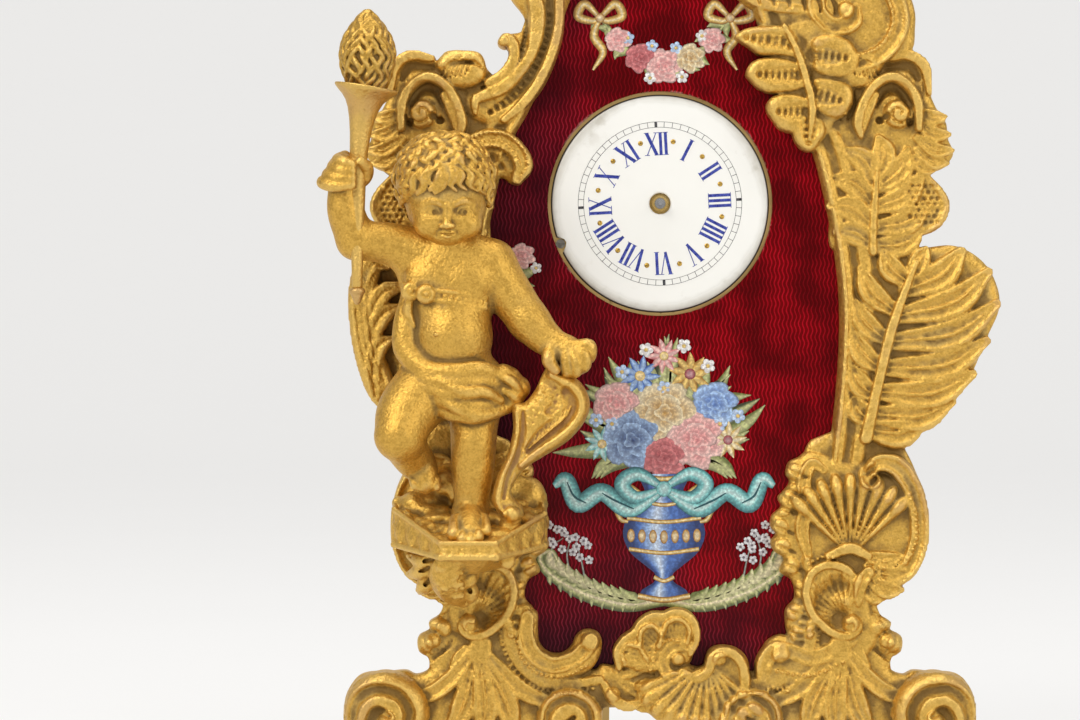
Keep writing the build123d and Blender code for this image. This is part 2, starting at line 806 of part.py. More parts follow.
with BuildPart() as front_frame:
    with BuildSketch(facing(frame_back)):
        cartouche(ring_margin)
        cartouche(running_gap, Mode.SUBTRACT)
    extrude(amount=frame_back)
    with BuildSketch(facing(0)):
        cartouche(ring_margin)
        with Locations((0, (apron_bottom + apron_top) / 2)):
            Rectangle(2 * apron_half_length, apron_top - apron_bottom)
        with Locations((0, total_height - crest_radius)):
            Circle(crest_radius)
        cartouche(-ring_lip, Mode.SUBTRACT)
    extrude(amount=ring_depth)
    with BuildSketch(facing(0)):
        for sign, inner in ((-1, foot_inner_left), (1, foot_inner_right)):
            with Locations((sign * (foot_reach - foot_radius), foot_radius - foot_flat)):
                Circle(foot_radius)
            with Locations((sign * inner, foot_inner_radius - foot_flat)):
                Circle(foot_inner_radius)
        Rectangle(4 * half_width, foot_radius, align=(Align.CENTER, Align.MAX), mode=Mode.SUBTRACT)
    extrude(amount=foot_front)
    for x, z, radius, start, arc, bar, eye in crest_scroll_shares:
        scroll_sizes = (half_width * radius, start, arc, half_width * bar, half_width * eye)
        c_scroll(half_width * x, total_height * z, *scroll_sizes, True)
    for front, shares in (
        (head_front, head_shares),
        (link_front, link_shares),
        (body_front, body_shares),
        (cup_front, cup_shares),
    ):
        for side in (-1, 1):
            cast_form(side, front, shares)
    for front, shares in (
        (leaf_front, leaf_shares),
        (c_scroll_front, c_scroll_shares),
        (hook_front, hook_shares),
        (corner_front, corner_shares),
    ):
        cast_form(-1, front, shares)
    for front, shares in (
        (wing_front, wing_shares),
        (shoulder_front, shoulder_shares),
        (knob_front, knob_shares),
        (scallop_front, scallop_shares),
        (ribbed_front, ribbed_shares),
    ):
        cast_form(1, front, shares)
    ledge = bracket_plan(bracket_top - bracket_rim, bracket_half_width, reach_front)
    extrude(ledge, amount=bracket_rim)
    stem = bracket_plan(bracket_bottom, bracket_foot_half_width, bracket_foot_front)
    loft([ledge.face(), stem.face()])
    with BuildSketch(Plane.XY.offset(bracket_top)):
        with Locations((bracket_x, plaque_y)):
            Rectangle(2 * bracket_half_width, bank_front, align=(Align.CENTER, Align.MAX))
    extrude(amount=bank_rise)
    with BuildSketch(facing(-spray_lift)):
        with BuildLine():
            points = [(spray_x + spray_length * x, spray_z + spray_length * z) for x, z in spray_shares]
            Spline(*points, periodic=True)
        make_face()
    extrude(amount=spray_front - spray_lift)
    for place in fixing_places:
        rod(place, frame_back - fixing_depth, frame_back, screw_radius + seat_gap, Mode.SUBTRACT)
    upright(
        figure_x, figure_y, bracket_top - figure_stud_down, bracket_top,
        figure_stud_radius + seat_gap, Mode.SUBTRACT,
    )
    upright(
        leaf_scroll_x, plaque_y - (leaf_scroll_front + leaf_scroll_back) / 2, bracket_top - scroll_pin_down,
        bracket_top, scroll_pin_radius + seat_gap, Mode.SUBTRACT,
    )
keep(front_frame, "front_frame")

with BuildPart() as frame_screws:
    for place in fixing_places:
        rod(place, frame_back - fixing_depth, case_back, screw_radius)
        rod(place, case_back, case_back + screw_head_height, screw_head_radius)
keep(frame_screws, "frame_screws")


# Leaf scroll on the bracket, under the lowered hand
with BuildPart() as leaf_scroll:
    with BuildSketch(facing(-leaf_scroll_back)):
        with BuildLine():
            points = []
            for x, z in leaf_scroll_shares:
                up = bracket_top - figure_sink + leaf_scroll_height * z
                points.append((leaf_scroll_x + leaf_scroll_height * x, up))
            Spline(*points, periodic=True)
        make_face()
    extrude(amount=leaf_scroll_front - leaf_scroll_back)
    split(bisect_by=Plane.XY.offset(bracket_top))
    upright(
        leaf_scroll_x, plaque_y - (leaf_scroll_front + leaf_scroll_back) / 2, bracket_top,
        bracket_top + scroll_pin_up, scroll_pin_radius + seat_gap, Mode.SUBTRACT,
    )
keep(leaf_scroll, "leaf_scroll")

with BuildPart() as scroll_pin:
    upright(
        leaf_scroll_x, plaque_y - (leaf_scroll_front + leaf_scroll_back) / 2, bracket_top - scroll_pin_down,
        bracket_top + scroll_pin_up, scroll_pin_radius,
    )
keep(scroll_pin, "scroll_pin")


# Figure: a child standing on the bracket, torch in its raised hand
def body_point(share):
    """A point of the figure from its shares of the figure's height."""
    x, depth, z = share
    return (figure_x + figure_height * x, figure_y + figure_height * depth, figure_z + figure_height * z)


with BuildPart() as putto_figure:
    for z, x, half, depth in torso_shares:
        with BuildSketch(Plane(origin=body_point((x, 0, z)))):
            Ellipse(figure_height * half, figure_height * depth)
    loft()
    for start, finish, start_radius, finish_radius in limb_shares:
        radii = (figure_height * start_radius, figure_height * finish_radius)
        limb(body_point(start), body_point(finish), *radii)
    head_x, head_y, head_z = body_point(head_share)
    with BuildSketch(Plane(origin=(head_x, head_y, head_z), x_dir=(1, 0, 0), z_dir=(0, -1, 0))):
        Ellipse(figure_height * head_radius_share, figure_height * head_height_share)
        Rectangle(
            figure_height, figure_height, align=(Align.MAX, Align.CENTER), mode=Mode.SUBTRACT,
        )
    revolve(axis=Axis((head_x, head_y, head_z), (0, 0, 1)))
    drape_x, drape_z, drape_half, drape_depth = drapery_shares
    with BuildSketch(Plane(origin=body_point((drape_x, 0, drape_z)))):
        Ellipse(figure_height * drape_half, figure_height * drape_depth)
    extrude(amount=figure_height * drapery_height_share)
    fist_z = figure_z + figure_height * fist_height_share
    with Locations((figure_x + figure_height * fist_x_share, plaque_y + torch_depth, fist_z)):
        Sphere(fist_radius)
    with BuildSketch(torch_plane):
        torch_shaft(seat_gap)
    revolve(axis=torch_axis, mode=Mode.SUBTRACT)
    split(bisect_by=Plane.XY.offset(bracket_top))
    upright(
        figure_x, figure_y, bracket_top, bracket_top + figure_stud_up,
        figure_stud_radius + seat_gap, Mode.SUBTRACT,
    )
keep(putto_figure, "putto_figure")

with BuildPart() as figure_stud:
    upright(
        figure_x, figure_y, bracket_top - figure_stud_down, bracket_top + figure_stud_up, figure_stud_radius,
    )
keep(figure_stud, "figure_stud")


# Plaque, case plate, dial and dial screw
with BuildPart() as enamel_plaque:
    with BuildSketch(facing(plaque_thickness)):
        cartouche()
        with Locations((0, dial_height)):
            Circle(plaque_opening, mode=Mode.SUBTRACT)
    extrude(amount=plaque_thickness)
keep(enamel_plaque, "enamel_plaque")

with BuildPart() as case_plate:
    with BuildSketch(facing(case_back)):
        cartouche(case_plate_margin)
        with Locations((0, dial_height)):
            Circle(case_plate_opening, mode=Mode.SUBTRACT)
    extrude(amount=case_plate_thickness)
    for place in fixing_places + drum_screw_places + leg_screw_places:
        rod(place, frame_back, case_back, screw_radius + seat_gap, Mode.SUBTRACT)
    rod(notch_place, frame_back, case_back, dial_screw_shaft + seat_gap, Mode.SUBTRACT)
keep(case_plate, "case_plate")

with BuildPart() as dial:
    rod(centre, dial_recess, dial_back, dial_radius)
    rod(centre, dial_recess, dial_back, dial_hole_radius, Mode.SUBTRACT)
    rod(notch_place, dial_recess, dial_back, dial_notch_radius, Mode.SUBTRACT)
    for place in foot_places:
        rod(place, dial_back, train_front, dial_foot_radius)
keep(dial, "dial")

with BuildPart() as dial_screw:
    rod(notch_place, dial_recess, frame_back, dial_screw_head)
    rod(notch_place, frame_back, case_back, dial_screw_shaft)
    with BuildSketch(facing(dial_recess + dial_screw_slot, notch_place[0], dial_height + notch_place[1])):
        Rectangle(2 * dial_screw_head, dial_screw_slot)
    extrude(amount=dial_screw_slot, mode=Mode.SUBTRACT)
keep(dial_screw, "dial_screw")


# Drum round the movement, its screws, and the door on its back
with BuildPart() as movement_drum:
    rod(centre, case_back, drum_back, drum_outer)
    rod(centre, case_back, case_back + drum_flange_thickness, drum_flange)
    rod(centre, front_plate_front, drum_back, drum_inner, Mode.SUBTRACT)
    rod(centre, case_back, front_plate_front, drum_lip, Mode.SUBTRACT)
    for place in drum_screw_places:
        rod(place, case_back, case_back + drum_flange_thickness, screw_radius + seat_gap, Mode.SUBTRACT)
    for place in dog_places:
        rod(place, case_back, front_plate_front, dog_radius + seat_gap, Mode.SUBTRACT)
    for sign in (-1, 1):
        middle = dial_height + sign * (door_knuckle_length / 2 + knuckle_gap + drum_knuckle_length / 2)
        bottom = middle - drum_knuckle_length / 2
        with BuildSketch(Plane.XY.offset(bottom)):
            with BuildLine():
                Polyline(
                    (drum_outer - drum_wall, plaque_y + drum_back - drum_strap),
                    (door_axis[0], plaque_y + drum_back - drum_strap),
                    (door_axis[0], plaque_y + drum_back),
                    (drum_outer - drum_wall, plaque_y + drum_back),
                    close=True,
                )
            make_face()
            with Locations(door_axis):
                Circle(door_knuckle)
                Circle(door_pin_radius + running_gap, mode=Mode.SUBTRACT)
        extrude(amount=drum_knuckle_length)
    rod(centre, front_plate_front, drum_back, drum_inner, Mode.SUBTRACT)
keep(movement_drum, "movement_drum")

with BuildPart() as drum_screws:
    for place in drum_screw_places:
        rod(place, frame_back, case_back + drum_flange_thickness, screw_radius)
        flange_back = case_back + drum_flange_thickness
        rod(place, flange_back, flange_back + screw_head_height, screw_head_radius)
keep(drum_screws, "drum_screws")

with BuildPart() as rear_door:
    rod(centre, door_front, door_back, drum_outer)
    with BuildSketch(facing(door_back, -drum_outer, dial_height)):
        Rectangle(2 * door_tab_reach, door_tab_width)
    extrude(amount=door_thickness)
    with BuildSketch(Plane.XY.offset(dial_height - door_knuckle_length / 2)):
        with BuildLine():
            Polyline(
                (drum_outer - door_strap, plaque_y + door_front),
                (door_axis[0], plaque_y + door_front),
                (door_axis[0], plaque_y + door_back),
                (drum_outer - door_strap, plaque_y + door_back),
                close=True,
            )
        make_face()
        with Locations(door_axis):
            Circle(door_knuckle)
            Circle(door_pin_radius + running_gap, mode=Mode.SUBTRACT)
    extrude(amount=door_knuckle_length)
    for place in (barrel_place, setting_place):
        rod(place, door_front, door_back, key_hole_radius, Mode.SUBTRACT)
keep(rear_door, "rear_door")

with BuildPart() as door_pin:
    pin_half = door_knuckle_length / 2 + knuckle_gap + drum_knuckle_length
    upright(*door_axis, dial_height - pin_half, dial_height + pin_half, door_pin_radius)
keep(door_pin, "door_pin")


# Rear leg on its upright hinge, under the drum
leg_y = plaque_y + leg_axis_depth
leg_knuckle_bottom = leg_middle - leg_knuckle_length / 2
leg_knuckle_top = leg_middle + leg_knuckle_length / 2

with BuildPart() as leg_hinge:
    hinge_back = case_back + leg_hinge_thickness
    with BuildSketch(facing(hinge_back, leg_x, leg_middle)):
        Rectangle(leg_hinge_width, leg_hinge_height)
    extrude(amount=leg_hinge_thickness)
    lower = leg_knuckle_bottom - leg_knuckle_gap - leg_fixed_knuckle
    upper = leg_knuckle_top + leg_knuckle_gap
    for bottom in (lower, upper):
        with BuildSketch(Plane.XY.offset(bottom)):
            with Locations((leg_x, (leg_y + plaque_y + case_back) / 2)):
                Rectangle(leg_web, leg_y - plaque_y - case_back)
            with Locations((leg_x, leg_y)):
                Circle(leg_knuckle_radius)
                Circle(leg_pin_radius + seat_gap, mode=Mode.SUBTRACT)
        extrude(amount=leg_fixed_knuckle)
    for place in leg_screw_places:
        rod(place, case_back, hinge_back, screw_radius + seat_gap, Mode.SUBTRACT)
keep(leg_hinge, "leg_hinge")

with BuildPart() as leg_screws:
    for place in leg_screw_places:
        rod(place, frame_back, hinge_back, screw_radius)
keep(leg_screws, "leg_screws")

with BuildPart() as leg_pin:
    upright(leg_x, leg_y, lower, upper + leg_fixed_knuckle, leg_pin_radius)
keep(leg_pin, "leg_pin")

with BuildPart() as rear_leg:
    root = leg_y + leg_knuckle_radius + leg_knuckle_gap
    heel_back = plaque_y + reach_back
    heel_front = heel_back - leg_heel
    span = heel_front - root
    with BuildSketch(Plane.YZ.offset(leg_x - leg_thickness / 2)):
        with BuildLine():
            Line((root, leg_top), (root, leg_root))
            ThreePointArc(
                (root, leg_root),
                (root + span * leg_arch_shares[0], leg_root * leg_arch_shares[1]),
                (heel_front, 0),
            )
            Line((heel_front, 0), (heel_back, 0))
            ThreePointArc(
                (heel_back, 0),
                (root + span * leg_bow_shares[0], leg_top * leg_bow_shares[1]),
                (root, leg_top),
            )
        make_face()
    extrude(amount=leg_thickness)
    with BuildSketch(Plane.XY.offset(leg_knuckle_bottom)):
        with Locations((leg_x, leg_y)):
            Rectangle(leg_thickness, 2 * leg_knuckle_radius, align=(Align.CENTER, Align.MIN))
            Circle(leg_knuckle_radius)
            Circle(leg_pin_radius + running_gap, mode=Mode.SUBTRACT)
    extrude(amount=leg_knuckle_length)
keep(rear_leg, "rear_leg")


# Movement plates, pillars and their screws
with BuildPart() as front_plate:
    rod(centre, front_plate_front, train_front, front_plate_radius)
    for place in pivot_places + [balance_place]:
        rod(place, front_plate_front, train_front, pivot_radius + running_gap, Mode.SUBTRACT)
    rod(centre, front_plate_front, train_front, centre_arbor_radius + running_gap, Mode.SUBTRACT)
    rod(barrel_place, front_plate_front, train_front, barrel_arbor_radius + running_gap, Mode.SUBTRACT)
    rod(setting_place, front_plate_front, train_front, setting_radius + running_gap, Mode.SUBTRACT)
    rod(minute_place, front_plate_front, train_front, minute_post_radius + seat_gap, Mode.SUBTRACT)
    for place in pillar_places:
        rod(place, front_plate_front, train_front, pillar_spigot + seat_gap, Mode.SUBTRACT)
    for place in foot_places:
        rod(place, front_plate_front, train_front, dial_foot_radius + seat_gap, Mode.SUBTRACT)
    for place in dog_places:
        rod(place, front_plate_front, train_front, dog_radius + seat_gap, Mode.SUBTRACT)
keep(front_plate, "front_plate")

with BuildPart() as back_plate:
    rod(centre, train_back, movement_back, back_plate_radius)
    for place in pivot_places:
        rod(place, train_back, movement_back, pivot_radius + running_gap, Mode.SUBTRACT)
    rod(centre, train_back, movement_back, centre_pivot_radius + running_gap, Mode.SUBTRACT)
    rod(balance_place, train_back, movement_back, staff_passage, Mode.SUBTRACT)
    rod(barrel_place, train_back, movement_back, barrel_arbor_radius + running_gap, Mode.SUBTRACT)
    rod(setting_place, train_back, movement_back, setting_radius + running_gap, Mode.SUBTRACT)
    rod(click_place, train_back, movement_back, click_stud_radius + seat_gap, Mode.SUBTRACT)
    rod(cock_foot_place, train_back, movement_back, screw_radius + seat_gap, Mode.SUBTRACT)
    for place in pillar_places:
        rod(place, train_back, movement_back, screw_radius + seat_gap, Mode.SUBTRACT)
keep(back_plate, "back_plate")

with BuildPart() as pillars:
    for place in pillar_places:
        rod(place, train_front, train_back, pillar_radius)
        rod(place, front_plate_front, train_front, pillar_spigot)
        rod(place, train_back - pillar_screw_length, train_back, screw_radius + seat_gap, Mode.SUBTRACT)
keep(pillars, "pillars")

with BuildPart() as pillar_screws:
    for place in pillar_places:
        rod(place, train_back - pillar_screw_length, movement_back, screw_radius)
        rod(place, movement_back, movement_back + screw_head_height, screw_head_radius)
keep(pillar_screws, "pillar_screws")

with BuildPart() as movement_screws:
    for place in dog_places:
        rod(place, case_back, train_front, dog_radius)
        rod(place, train_front, train_front + screw_head_height, dog_head)
keep(movement_screws, "movement_screws")


# Barrel with its cover, arbor, spring and winding work
with BuildPart() as barrel:
    toothed(
        barrel_place, barrel_teeth_depth, barrel_teeth_depth + barrel_floor,
        barrel_teeth, barrel_module, wheel_tooth_shares, barrel_angle - 180,
    )
    rod(barrel_place, barrel_teeth_depth, barrel_back, barrel_radius)
    barrel_room = barrel_teeth_depth + barrel_floor
    rod(barrel_place, barrel_room, barrel_back, barrel_radius - barrel_wall, Mode.SUBTRACT)
    rod(barrel_place, barrel_teeth_depth, barrel_room, barrel_arbor_radius + running_gap, Mode.SUBTRACT)
keep(barrel, "barrel")

with BuildPart() as barrel_cover:
    rod(barrel_place, cover_front, barrel_back, barrel_radius - barrel_wall - seat_gap)
    rod(barrel_place, cover_front, barrel_back, barrel_arbor_radius + running_gap, Mode.SUBTRACT)
keep(barrel_cover, "barrel_cover")

with BuildPart() as barrel_arbor:
    rod(barrel_place, front_plate_front, square_front, barrel_arbor_radius)
    rod(barrel_place, barrel_room + running_gap, cover_front - running_gap, barrel_hub_radius)
    square_bar(barrel_place, square_front, square_back, barrel_arbor_radius * square_share)
keep(barrel_arbor, "barrel_arbor")

with BuildPart() as mainspring:
    with BuildSketch(facing(cover_front - spring_margin, barrel_place[0], dial_height + barrel_place[1])):
        spiral_face(spring_inner, spring_pitch, spring_half_turns, spring_thickness)
    extrude(amount=cover_front - barrel_room - 2 * spring_margin)
keep(mainspring, "mainspring")

with BuildPart() as ratchet_wheel:
    step = 360 / ratchet_teeth
    points = []
    for tooth in range(ratchet_teeth):
        points.append(polar((0, 0), ratchet_radius - ratchet_tooth, tooth * step))
        points.append(polar((0, 0), ratchet_radius, tooth * step))
    with BuildSketch(facing(ratchet_back, barrel_place[0], dial_height + barrel_place[1])):
        with BuildLine():
            Polyline(*points, close=True)
        make_face()
        Circle(barrel_arbor_radius + seat_gap, mode=Mode.SUBTRACT)
    extrude(amount=ratchet_thickness)
keep(ratchet_wheel, "ratchet_wheel")

click_tip = polar(barrel_place, ratchet_radius + click_clearance, click_tip_angle)
click_line = Vector(click_tip[0] - click_place[0], click_tip[1] - click_place[1])
click_side = Vector(click_line.Y, -click_line.X).normalized()

with BuildPart() as click:
    with BuildSketch(facing(ratchet_back, 0, dial_height)):
        with Locations(click_place):
            Circle(click_hub)
        with BuildLine():
            shoulder = click_side * click_half_width
            Polyline(
                (click_place[0] + shoulder.X, click_place[1] + shoulder.Y),
                click_tip,
                (click_place[0] - shoulder.X, click_place[1] - shoulder.Y),
                close=True,
            )
        make_face()
        with Locations(click_place):
            Circle(click_stud_radius + running_gap, mode=Mode.SUBTRACT)
    extrude(amount=ratchet_thickness)
keep(click, "click")

with BuildPart() as click_stud:
    rod(click_place, train_back, ratchet_back, click_stud_radius)
keep(click_stud, "click_stud")

with BuildPart() as click_spring:
    middle = click_line * (1 / 2) + click_side * click_spring_offset
    spring_plane = Plane(
        origin=(click_place[0] + middle.X, plaque_y + ratchet_back, dial_height + click_place[1] + middle.Y),
        x_dir=(click_line.X, 0, click_line.Y),
        z_dir=(0, -1, 0),
    )
    with BuildSketch(spring_plane):
        Rectangle(click_spring_length, click_spring_thickness)
    extrude(amount=ratchet_back - movement_back)
keep(click_spring, "click_spring")


# Going train
barrel_phase = barrel_angle - 180
train_wheel(
    "centre_wheel", centre, centre_wheel_depth, centre_teeth, centre_module,
    centre_arbor_radius + seat_gap, third_angle,
)
train_wheel(
    "third_wheel", third_place, third_wheel_depth, third_teeth, third_module,
    arbor_radius + seat_gap, fourth_angle,
)
train_wheel(
    "fourth_wheel", fourth_place, fourth_wheel_depth, fourth_teeth, fourth_module,
    arbor_radius + seat_gap, escape_angle,
)
third_phase = mate(third_angle, third_angle, centre_teeth, third_leaves)
train_arbor("third_arbor", third_place, centre_wheel_depth, third_leaves, centre_module, third_phase)
fourth_phase = mate(fourth_angle, fourth_angle, third_teeth, fourth_leaves)
train_arbor("fourth_arbor", fourth_place, third_wheel_depth, fourth_leaves, third_module, fourth_phase)
escape_phase = mate(escape_angle, escape_angle, fourth_teeth, escape_leaves)
train_arbor("escape_arbor", escape_place, fourth_wheel_depth, escape_leaves, fourth_module, escape_phase)

with BuildPart() as centre_arbor:
    rod(centre, centre_arbor_front, train_back - running_gap, centre_arbor_radius)
    rod(centre, train_back - running_gap, movement_back, centre_pivot_radius)
    leaf_front = barrel_teeth_depth - leaf_margin
    leaf_back = barrel_teeth_depth + barrel_floor + leaf_margin
    centre_phase = mate(barrel_phase, barrel_phase, barrel_teeth, centre_leaves)
    toothed(centre, leaf_front, leaf_back, centre_leaves, barrel_module, leaf_tooth_shares, centre_phase)
keep(centre_arbor, "centre_arbor")

with BuildPart() as escape_wheel:
    step = 360 / escape_teeth
    points = []
    for tooth in range(escape_teeth):
        place = balance_angle + (tooth + 1 / 2) * step
        points.append(polar((0, 0), escape_radius * escape_root_share, place - step * escape_heel_share))
        points.append(polar((0, 0), escape_radius, place))
        points.append(polar((0, 0), escape_radius * escape_root_share, place + step * escape_toe_share))
    escape_back = escape_wheel_depth + wheel_thickness
    with BuildSketch(facing(escape_back, escape_place[0], dial_height + escape_place[1])):
        with BuildLine():
            Polyline(*points, close=True)
        make_face()
        Circle(arbor_radius + seat_gap, mode=Mode.SUBTRACT)
        with PolarLocations(escape_radius * escape_hole_circle_share, escape_holes):
            Circle(escape_radius * escape_hole_share, mode=Mode.SUBTRACT)
    extrude(amount=wheel_thickness)
keep(escape_wheel, "escape_wheel")


# Motion work behind the dial
minute_phase = minute_angle + 180
with BuildPart() as cannon_pinion:
    rod(centre, hour_pipe_front - running_gap, cannon_back, cannon_radius)
    rod(centre, cannon_front, hour_pipe_front - running_gap, cannon_seat_radius)
    cannon_phase = mate(minute_phase, minute_phase, minute_teeth, cannon_leaves)
    toothed(centre, cannon_depth, cannon_back, cannon_leaves, motion_module, leaf_tooth_shares, cannon_phase)
    rod(centre, cannon_front, cannon_back, centre_arbor_radius + running_gap, Mode.SUBTRACT)
keep(cannon_pinion, "cannon_pinion")

with BuildPart() as minute_wheel:
    wheel_front = cannon_depth + running_gap
    wheel_back = cannon_back - leaf_margin
    toothed(
        minute_place, wheel_front, wheel_back,
        minute_teeth, motion_module, wheel_tooth_shares, minute_phase,
    )
    pinion_phase = mate(minute_angle, minute_angle, hour_teeth, minute_leaves)
    pinion_front = hour_depth - running_gap
    toothed(
        minute_place, pinion_front, wheel_front,
        minute_leaves, minute_module, leaf_tooth_shares, pinion_phase,
    )
    rod(minute_place, pinion_front, wheel_back, minute_post_radius + running_gap, Mode.SUBTRACT)
keep(minute_wheel, "minute_wheel")

with BuildPart() as minute_post:
    rod(minute_place, minute_post_front, train_front, minute_post_radius)
keep(minute_post, "minute_post")

with BuildPart() as hour_wheel:
    hour_back = hour_depth + hour_thickness
    toothed(centre, hour_depth, hour_back, hour_teeth, minute_module, wheel_tooth_shares, minute_angle)
    rod(centre, dial_recess, hour_back, hour_pipe_radius)
    rod(centre, hour_pipe_front, dial_recess, hour_seat_radius)
    rod(centre, hour_pipe_front, hour_back, cannon_radius + running_gap, Mode.SUBTRACT)
keep(hour_wheel, "hour_wheel")

with BuildPart() as setting_arbor:
    rod(setting_place, setting_front, square_front, setting_radius)
    setting_phase = mate(minute_phase, setting_angle, minute_teeth, cannon_leaves)
    toothed(
        setting_place, cannon_depth, cannon_back, cannon_leaves, motion_module,
        leaf_tooth_shares, setting_phase,
    )
    square_bar(setting_place, square_front, square_back, setting_radius * square_share)
keep(setting_arbor, "setting_arbor")


# Balance, hairspring, cock and regulator behind the back plate
with BuildPart() as balance_staff:
    rod(balance_place, train_front + running_gap, cock_depth - running_gap, staff_radius)
    rod(balance_place, front_plate_front, cock_back - running_gap, pivot_radius)
keep(balance_staff, "balance_staff")

with BuildPart() as balance_wheel:
    balance_back = balance_depth + balance_thickness
    with BuildSketch(facing(balance_back, balance_place[0], dial_height + balance_place[1])):
        Circle(balance_radius)
        Circle(balance_radius - balance_rim, mode=Mode.SUBTRACT)
        Rectangle(2 * balance_radius - balance_rim, balance_arm)
        Circle(balance_hub)
        Circle(staff_radius + seat_gap, mode=Mode.SUBTRACT)
    extrude(amount=balance_thickness)
keep(balance_wheel, "balance_wheel")

with BuildPart() as hairspring:
    spring_back = hairspring_depth + hairspring_height
    with BuildSketch(facing(spring_back, balance_place[0], dial_height + balance_place[1])):
        spiral_face(hairspring_inner, hairspring_pitch, hairspring_half_turns, hairspring_thickness)
    extrude(amount=hairspring_height)
keep(hairspring, "hairspring")

with BuildPart() as balance_cock:
    rod(cock_foot_place, movement_back, cock_back, cock_foot_radius)
    cock_middle = polar(balance_place, cock_foot_reach / 2, cock_foot_angle)
    with BuildSketch(facing(cock_back, cock_middle[0], dial_height + cock_middle[1])):
        SlotCenterToCenter(cock_foot_reach, 2 * cock_half_width, rotation=cock_foot_angle)
    extrude(amount=cock_thickness)
    rod(balance_place, cock_depth, cock_back + regulator_thickness + running_gap, regulator_boss)
    rod(balance_place, cock_depth, cock_back, pivot_radius + running_gap, Mode.SUBTRACT)
    rod(cock_foot_place, movement_back, cock_back, screw_radius + seat_gap, Mode.SUBTRACT)
keep(balance_cock, "balance_cock")

with BuildPart() as cock_screw:
    rod(cock_foot_place, train_back, cock_back, screw_radius)
    rod(cock_foot_place, cock_back, cock_back + screw_head_height, screw_head_radius)
keep(cock_screw, "cock_screw")

with BuildPart() as regulator_index:
    regulator_back = cock_back + regulator_thickness + running_gap
    with BuildSketch(facing(regulator_back, balance_place[0], dial_height + balance_place[1])):
        Circle(regulator_hub)
        with Locations((0, regulator_reach / 2)):
            Rectangle(regulator_width, regulator_reach)
        Circle(regulator_boss + running_gap, mode=Mode.SUBTRACT)
    extrude(amount=regulator_thickness)
keep(regulator_index, "regulator_index")
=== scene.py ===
import math
import random

import bmesh
import bpy
import numpy as np
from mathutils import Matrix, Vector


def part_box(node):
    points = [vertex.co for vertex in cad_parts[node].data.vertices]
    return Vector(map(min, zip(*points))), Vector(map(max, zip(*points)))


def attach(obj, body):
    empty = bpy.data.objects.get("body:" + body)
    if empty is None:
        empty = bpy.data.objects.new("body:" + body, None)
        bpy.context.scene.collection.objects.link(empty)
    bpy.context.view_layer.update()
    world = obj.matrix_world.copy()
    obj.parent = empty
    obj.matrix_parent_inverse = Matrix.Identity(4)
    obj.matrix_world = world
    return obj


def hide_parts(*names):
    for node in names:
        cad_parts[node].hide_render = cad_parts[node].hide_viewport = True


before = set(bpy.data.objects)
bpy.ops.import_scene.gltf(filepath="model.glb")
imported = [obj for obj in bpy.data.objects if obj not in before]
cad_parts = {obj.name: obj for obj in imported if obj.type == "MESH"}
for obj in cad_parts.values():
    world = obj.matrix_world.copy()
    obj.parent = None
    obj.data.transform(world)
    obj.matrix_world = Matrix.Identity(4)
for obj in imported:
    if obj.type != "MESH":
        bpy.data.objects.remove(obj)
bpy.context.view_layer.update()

import openvdb
from mathutils import Vector

plaque_y = -11.75
lens_distance = 900.0
pixel = 0.22
photo_width, photo_height = 1080, 720
view_x = -26.4
view_z = 85.58

scene = bpy.context.scene
scene.view_settings.view_transform = "Standard"
lens = bpy.data.cameras.new("lens")
lens.sensor_width = 36.0
lens.lens = lens.sensor_width * lens_distance / (photo_width * pixel)
lens.clip_start = 0.01
camera = bpy.data.objects.new("camera", lens)
camera.location = (view_x / 1000, (plaque_y - lens_distance) / 1000, view_z / 1000)
camera.rotation_euler = (math.radians(90), 0, 0)
scene.collection.objects.link(camera)
scene.camera = camera


class Shade:
    """A shader socket. Python sums on it add the nodes that work them out."""

    def __init__(self, tree, socket=None):
        self.tree = tree
        self.socket = socket

    def node(self, kind, settings=(), sockets=(), out=0):
        made = self.tree.nodes.new(kind)
        for key, value in dict(settings).items():
            if key == "stops":
                first, last = made.color_ramp.elements
                first.position, first.color = value[0][0], (*value[0][1], 1)
                last.position, last.color = value[-1][0], (*value[-1][1], 1)
                for place, colour in value[1:-1]:
                    made.color_ramp.elements.new(place).color = (*colour, 1)
            else:
                setattr(made, key, value)
        for key, value in dict(sockets).items():
            if isinstance(value, Shade):
                self.tree.links.new(value.socket, made.inputs[key])
            else:
                made.inputs[key].default_value = value
        return Shade(self.tree, made.outputs[out])

    def sum(self, operation, first, second):
        return self.node("ShaderNodeMath", {"operation": operation}, {0: first, 1: second})

    def __add__(self, other):
        return self.sum("ADD", self, other)

    def __radd__(self, other):
        return self.sum("ADD", other, self)

    def __sub__(self, other):
        return self.sum("SUBTRACT", self, other)

    def __rsub__(self, other):
        return self.sum("SUBTRACT", other, self)

    def __mul__(self, other):
        return self.sum("MULTIPLY", self, other)

    def __rmul__(self, other):
        return self.sum("MULTIPLY", other, self)


def mixed(share, low, high):
    """A colour between two, by a share."""
    return share.node("ShaderNodeMix", {"data_type": "RGBA"}, {0: share, 6: low, 7: high}, 2)


def step(value, low, high):
    """A smooth rise from 0 to 1 while a value goes from low to high."""
    ends = {"Value": value, "From Min": low, "From Max": high}
    return value.node("ShaderNodeMapRange", {"interpolation_type": "SMOOTHSTEP"}, ends)


def fresh(name):
    """A new material, a loose shade in its nodes and its shader."""
    material = bpy.data.materials.new(name)
    material.use_nodes = True
    shader = material.node_tree.nodes["Principled BSDF"]
    return material, Shade(material.node_tree), shader


def feed(shader, shade, name):
    """Links a shade to one of the shader's sockets."""
    shade.tree.links.new(shade.socket, shader.inputs[name])


